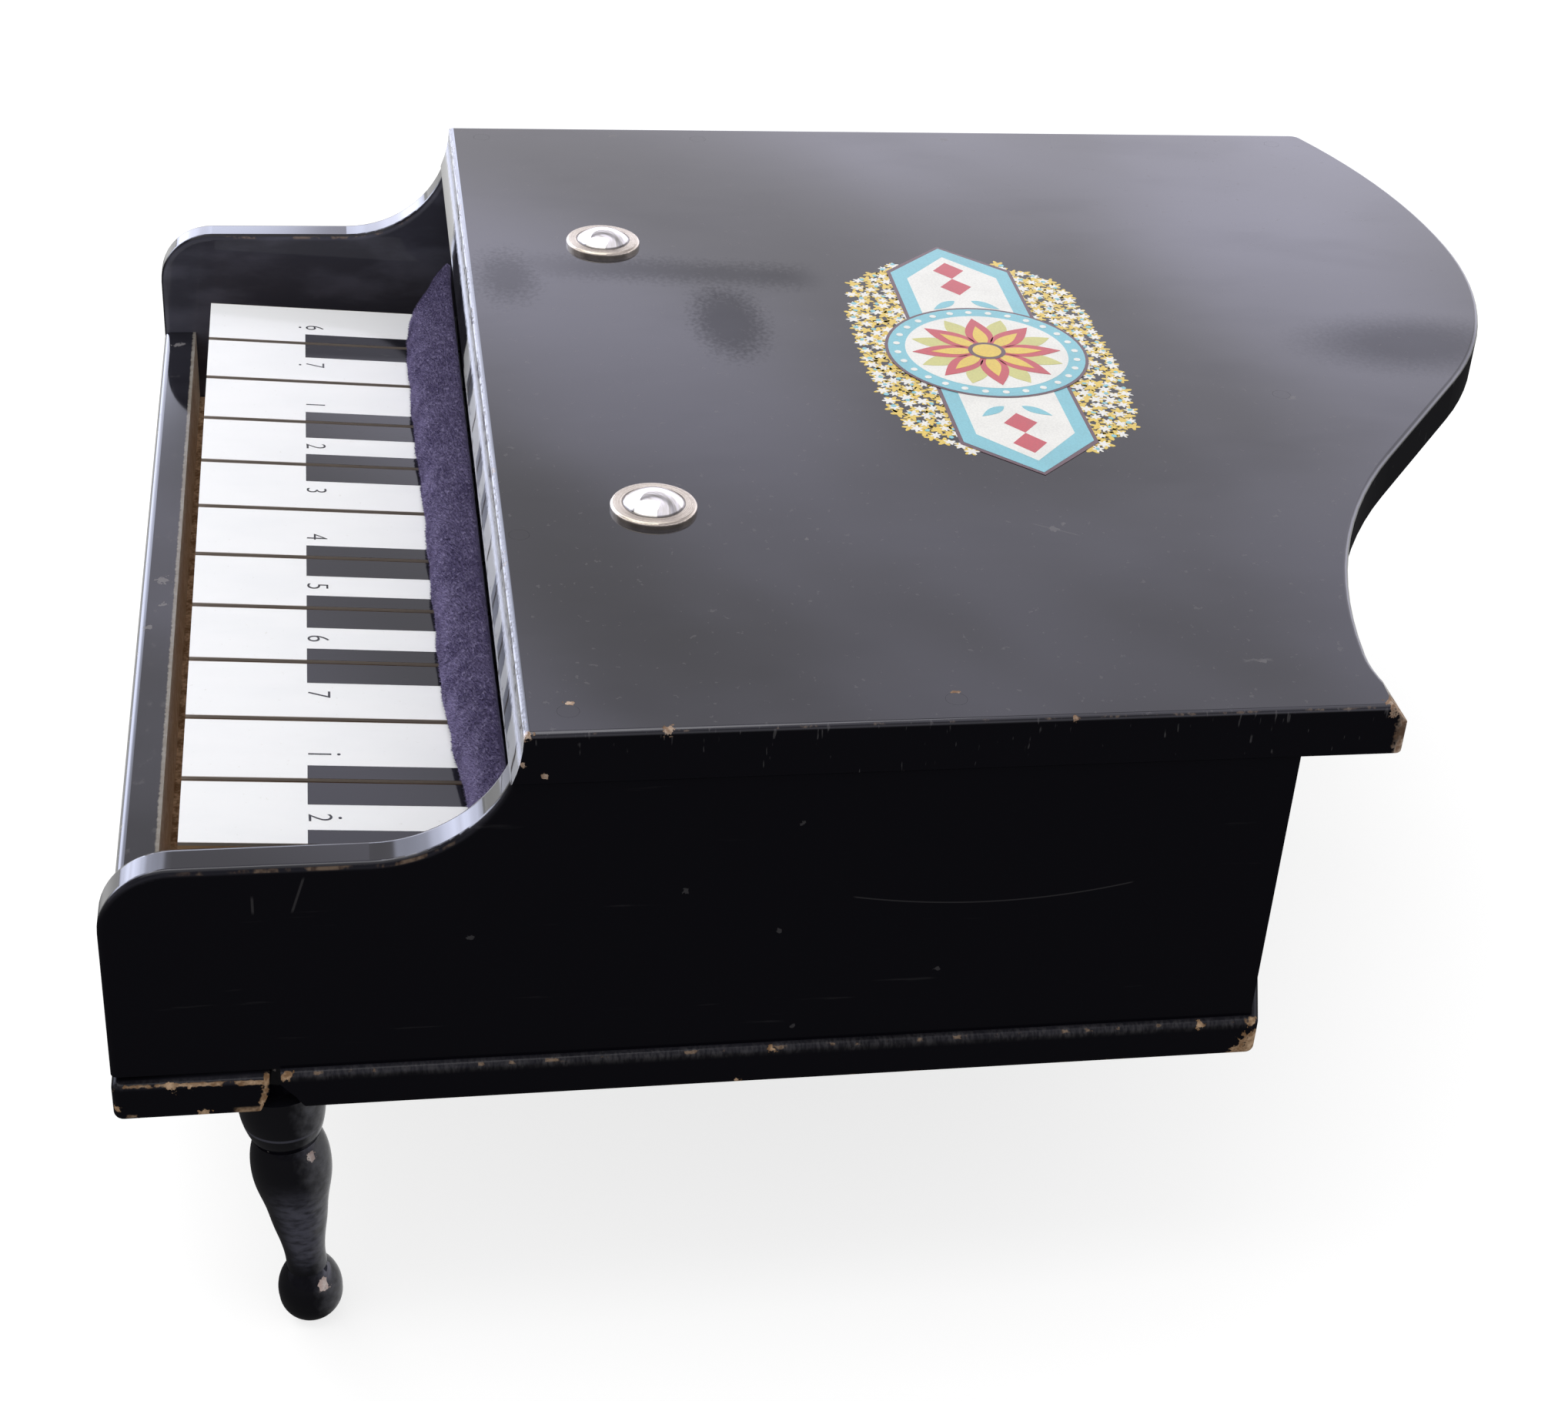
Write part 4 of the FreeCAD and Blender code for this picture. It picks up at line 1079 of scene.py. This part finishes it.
def set_on_lid(name, mesh):
    """Makes a mesh, drawn in millimetres about the transfer's middle, a piece that lies on the lid."""
    mesh.transform(ON_LID)
    item = put(name, mesh)
    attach(item, "case")


def lay(label, outlines):
    """Lays one thin layer of ink on the lid."""
    name, high = next_layer(label)
    mesh = slab_mesh(name, outlines, high)
    mesh.materials.append(inks[label])
    set_on_lid(name, mesh)


def lay_grown(label, tree, ground, motif, **values):
    """Lays a layer in which a Geometry Nodes tree repeats one motif on a ground."""
    name, high = next_layer(label)
    made = [put("motif", slab_mesh("motif", [motif], high)), put("ground", ground)]
    mesh = tree.grow(made[1], name, Shape=made[0], Material=inks[label], **values)
    for item in made:
        bpy.data.objects.remove(item)
    set_on_lid(name, mesh)


print("layers of", LAYER, "mm ready")

# %% shapes round a ring
rings_tree = Grower("ring_of", Shape="Object", Count="Int", Radius="Float", Start="Float", Material="Material")
given = rings_tree.given
circle = rings_tree.node("GeometryNodeMeshCircle", {}, {"Vertices": given["Count"], "Radius": given["Radius"]})
source = rings_tree.node("GeometryNodeObjectInfo", {}, {"Object": given["Shape"]})
step = rings_tree.node("ShaderNodeMath", {"operation": "DIVIDE"}, {0: 2 * math.pi, 1: given["Count"]})
place = rings_tree.node("GeometryNodeInputIndex")
angle = rings_tree.node("ShaderNodeMath", {"operation": "MULTIPLY"}, {0: place.outputs[0], 1: step.outputs[0]})
spun = rings_tree.node("ShaderNodeCombineXYZ", {}, {"Z": angle.outputs[0]})
set_round = rings_tree.node("GeometryNodeInstanceOnPoints", {},
                            {"Points": circle.outputs["Mesh"], "Instance": source.outputs["Geometry"],
                             "Rotation": spun.outputs[0]})
start = rings_tree.node("ShaderNodeCombineXYZ", {}, {"Z": given["Start"]})
whole = rings_tree.node("GeometryNodeRealizeInstances", {}, {0: set_round.outputs[0]})
aligned = rings_tree.node("GeometryNodeTransform", {}, {0: whole.outputs[0], "Rotation": start.outputs[0]})
rings_tree.close(aligned.outputs[0])


def lay_round(label, outline, count, radius, start=0.0):
    """Repeats one inked shape round the middle of the transfer."""
    lay_grown(label, rings_tree, bpy.data.meshes.new("ground"), outline, Count=count, Radius=radius, Start=start)


print("ring tree of", len(rings_tree.tree.nodes), "nodes")

# %% strewn florets
FULL_TURN = 6.28
florets = Grower("florets", Shape="Object", Gap="Float", Seed="Int", Material="Material")
given = florets.given
sown = florets.node("GeometryNodeDistributePointsOnFaces", {"distribute_method": "POISSON"},
                    {"Mesh": given["Geometry"], "Distance Min": given["Gap"], "Density Max": 4.0,
                     "Seed": given["Seed"]})
flower = florets.node("GeometryNodeObjectInfo", {}, {"Object": given["Shape"]})
twist = florets.node("FunctionNodeRandomValue", {"data_type": "FLOAT_VECTOR"},
                     {"Min": (0.0, 0.0, 0.0), "Max": (0.0, 0.0, FULL_TURN), "Seed": given["Seed"]})
size = florets.node("FunctionNodeRandomValue", {"data_type": "FLOAT_VECTOR"},
                    {"Min": (0.7, 0.7, 1.0), "Max": (1.15, 1.15, 1.0), "Seed": 2})
strewn = florets.node("GeometryNodeInstanceOnPoints", {},
                      {"Points": sown.outputs["Points"], "Instance": flower.outputs["Geometry"],
                       "Rotation": twist.outputs["Value"], "Scale": size.outputs["Value"]})
florets.close(strewn.outputs[0])


def scatter_on(label, outline, motif, gap, seed):
    """Strews one inked motif over two mirrored bands of the transfer."""
    count = len(outline)
    corners = [(x, y, 0.0) for x, y in outline] + [(-x, -y, 0.0) for x, y in outline]
    field = bpy.data.meshes.new("field")
    field.from_pydata(corners, [], [tuple(range(count)), tuple(range(count, 2 * count))])
    lay_grown(label, florets, field, motif, Gap=gap, Seed=seed)


print("floret tree of", len(florets.tree.nodes), "nodes")

# %% transfer drawing
BAND = [(-34.0, 9.0), (34.0, 9.0), (26.0, 17.5), (12.0, 19.5), (-12.0, 19.5), (-26.0, 17.5)]
LEAF_TURN = 0.9
scatter_on("gold", BAND, floret_outline(1.5, 5), gap=1.7, seed=5)
scatter_on("cream", BAND, floret_outline(1.15, 6), gap=1.9, seed=11)
scatter_on("turquoise", BAND, round_outline(0.42, 10), gap=2.6, seed=3)
lay("maroon", [lozenge(41.0, 10.6, 31.0)])
lay("turquoise", [lozenge(40.2, 10.0, 30.4)])
lay("cream", [lozenge(36.6, 7.6, 28.0)])
lay("red", [moved(lozenge(3.2, 2.6, 0.0), x, 0) for x in (-31.0, -24.5, 24.5, 31.0)])
lay("turquoise", [moved(petal_outline(5.2, 1.8), x, side * 1.4, side * LEAF_TURN)
                  for x in (-19.0, 19.0) for side in (1, -1)])
lay("maroon", [round_outline(16.2)])
lay("turquoise", [round_outline(15.7)])
lay("cream", [round_outline(13.0)])
lay_round("cream", round_outline(0.55, 12), count=28, radius=14.35)
lay_round("leaf", petal_outline(6.6, 3.4), count=8, radius=5.6, start=math.pi / 8)
lay_round("red", petal_outline(10.4, 4.4), count=8, radius=1.6)
lay_round("gold", petal_outline(7.0, 2.3), count=8, radius=2.0)
lay("maroon", [round_outline(3.0, 32)])
lay("gold", [round_outline(2.3, 32)])
print(len(laid), "layers of ink")
